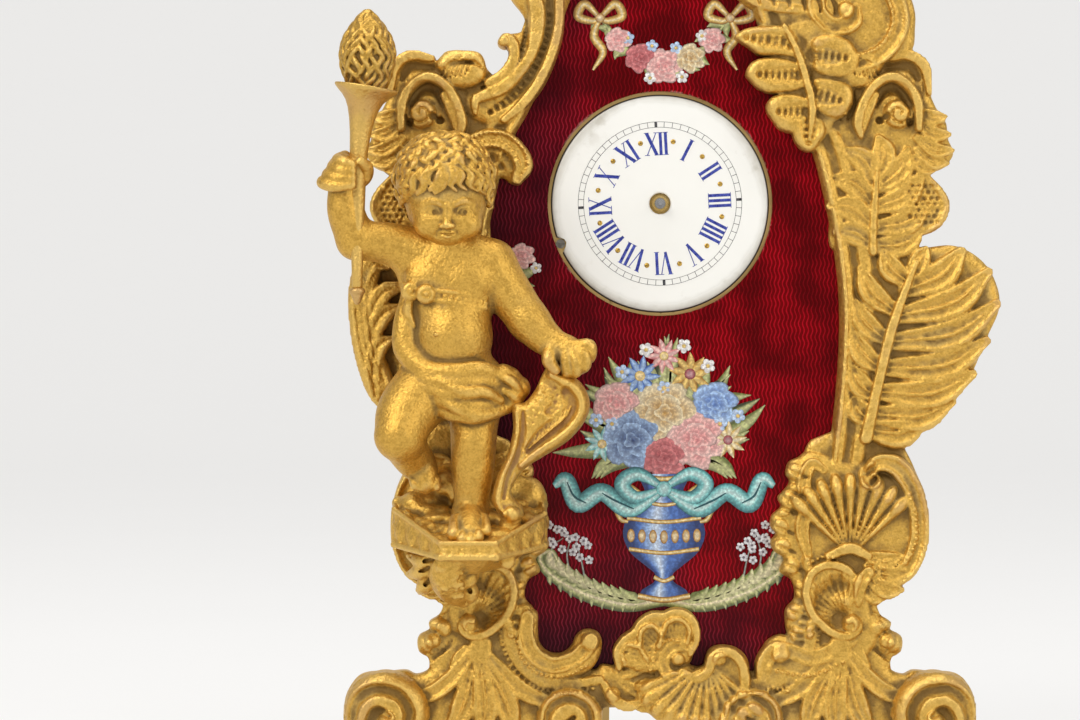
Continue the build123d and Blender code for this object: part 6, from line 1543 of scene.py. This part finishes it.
for minute in range(60):
    turn = math.radians(6 * minute)
    half = 0.3 if minute % 15 == 0 else 0.055
    bounds = ((track_in, half), (track_out, half), (track_out, -half), (track_in, -half))
    printed(track_points, track_faces, [(r * math.cos(turn) + s * math.sin(turn),
        r * math.sin(turn) - s * math.cos(turn)) for r, s in bounds])
for radius in (track_in, track_out):
    for i in range(180):
        a, b = 2 * math.pi * i / 180, 2 * math.pi * (i + 1) / 180
        bounds = ((radius - 0.045, a), (radius + 0.045, a), (radius + 0.045, b), (radius - 0.045, b))
        printed(track_points, track_faces, [(r * math.cos(t), r * math.sin(t)) for r, t in bounds])
for name, points, faces, colour, pale in (
        ("dial_hours", ink_points, ink_faces, (0.018, 0.03, 0.24, 1), (0.06, 0.09, 0.42, 1)),
        ("dial_track", track_points, track_faces, (0.02, 0.02, 0.024, 1), (0.09, 0.09, 0.1, 1))):
    ink, shade, shader = fresh(name + "_ink")
    worn = shade.node("ShaderNodeTexNoise", {}, {"Vector": shade.node("ShaderNodeTexCoord", {}, {}, 3),
        "Scale": 1600.0, "Detail": 3.0})
    feed(shader, mixed(step(worn, 0.4, 0.7), colour, pale), "Base Color")
    feed(shader, 0.2 + worn * 0.2, "Roughness")
    piece = solid(name, points, faces, ink, False)
    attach(piece, "case")

dot_gold, shade, shader = fresh("dial_dot_gold")
worn = shade.node("ShaderNodeTexNoise", {}, {"Vector": shade.node("ShaderNodeTexCoord", {}, {}, 3),
    "Scale": 2600.0, "Detail": 3.0})
feed(shader, mixed(step(worn, 0.4, 0.62), (0.66, 0.42, 0.08, 1), (0.2, 0.12, 0.03, 1)), "Base Color")
feed(shader, 0.25 + worn * 0.2, "Roughness")
shader.inputs["Metallic"].default_value = 0.7
points, faces = [], []
for hour in range(12):
    turn = math.radians(30 * hour + 15) + dial_lean
    x, z = 13.9 * math.cos(turn), 13.9 * math.sin(turn)
    first = len(points)
    points.append(on_dial(x, z, 0.16))
    for share, rise in ((0.3, 0.2), (0.62, 0.2), (1.0, 0.02)):
        points += [on_dial(x + 0.56 * share * math.cos(a), z + 0.56 * share * math.sin(a), rise)
            for a in np.linspace(0, 2 * math.pi, 17)[:-1]]
    for i in range(16):
        j = (i + 1) % 16
        faces.append((first, first + 1 + i, first + 1 + j))
        for ring in (0, 1):
            base = first + 1 + 16 * ring
            faces.append((base + i, base + 16 + i, base + 16 + j, base + j))
dots = solid("dial_dots", points, faces, dot_gold)
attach(dots, "case")


# Movement, drum, back door and leg: brass plates and wheels, with steel arbors, springs, pins and screws.
# They keep their solids. Brass is finely grained and a little tarnished, steel is polished or blued.
def grained(name, low, high, roughness, scale, metal=1.0):
    """Worked metal: fine straight graining, cloudy tarnish and small dark spots."""
    material, shade, shader = fresh(name)
    place = shade.node("ShaderNodeTexCoord", {}, {}, 3)
    long_grain = shade.node("ShaderNodeMapping", {}, {"Vector": place, "Scale": (1.0, 1.0, 14.0)})
    line = shade.node("ShaderNodeTexNoise", {}, {"Vector": long_grain, "Scale": scale, "Detail": 3.0})
    cloud = shade.node("ShaderNodeTexNoise", {}, {"Vector": place, "Scale": 90.0, "Detail": 5.0})
    spot_mask = step(shade.node("ShaderNodeTexNoise", {}, {"Vector": place, "Scale": 420.0, "Detail": 2.0}),
        0.66, 0.74)
    tone = mixed(step(cloud, 0.35, 0.7), (*high, 1), (*low, 1))
    tone = mixed(spot_mask * 0.5, tone, (low[0] * 0.3, low[1] * 0.3, low[2] * 0.3, 1))
    feed(shader, tone, "Base Color")
    feed(shader, roughness + (line - 0.5) * 0.2 + spot_mask * 0.2 + cloud * 0.1, "Roughness")
    shader.inputs["Metallic"].default_value = metal
    feed(shader, shade.node("ShaderNodeBump", {}, {"Strength": 0.15, "Distance": 0.0001, "Height": line}),
        "Normal")
    return material


case_brass = grained("grained_brass", (0.5, 0.33, 0.12), (0.72, 0.5, 0.2), 0.3, 500.0)
wheel_brass = grained("wheel_brass", (0.62, 0.42, 0.14), (0.82, 0.6, 0.25), 0.22, 1200.0)
bright_steel = grained("bright_steel", (0.36, 0.36, 0.37), (0.58, 0.58, 0.58), 0.22, 1400.0)
blued_steel = grained("blued_steel", (0.05, 0.07, 0.14), (0.12, 0.16, 0.3), 0.25, 1400.0)
aged_screw = grained("aged_screw", (0.14, 0.13, 0.11), (0.3, 0.28, 0.24), 0.35, 1400.0)
finishes = (
    (case_brass, ("case_plate", "movement_drum", "front_plate", "back_plate", "balance_cock", "rear_door",
        "rear_leg", "leg_hinge", "pillars")),
    (wheel_brass, ("barrel", "barrel_cover", "centre_wheel", "third_wheel", "fourth_wheel", "escape_wheel",
        "minute_wheel", "hour_wheel", "balance_wheel")),
    (bright_steel, ("barrel_arbor", "ratchet_wheel", "click", "centre_arbor", "third_arbor", "fourth_arbor",
        "escape_arbor", "cannon_pinion", "setting_arbor", "balance_staff", "minute_post", "click_stud",
        "figure_stud", "scroll_pin", "leg_pin", "door_pin", "regulator_index")),
    (blued_steel, ("mainspring", "hairspring", "click_spring", "cock_screw", "pillar_screws",
        "movement_screws")),
    (aged_screw, ("dial_screw", "frame_screws", "drum_screws", "leg_screws")),
)
for finish, names in finishes:
    for name in names:
        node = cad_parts[name]
        node.data.materials.clear()
        node.data.materials.append(finish)
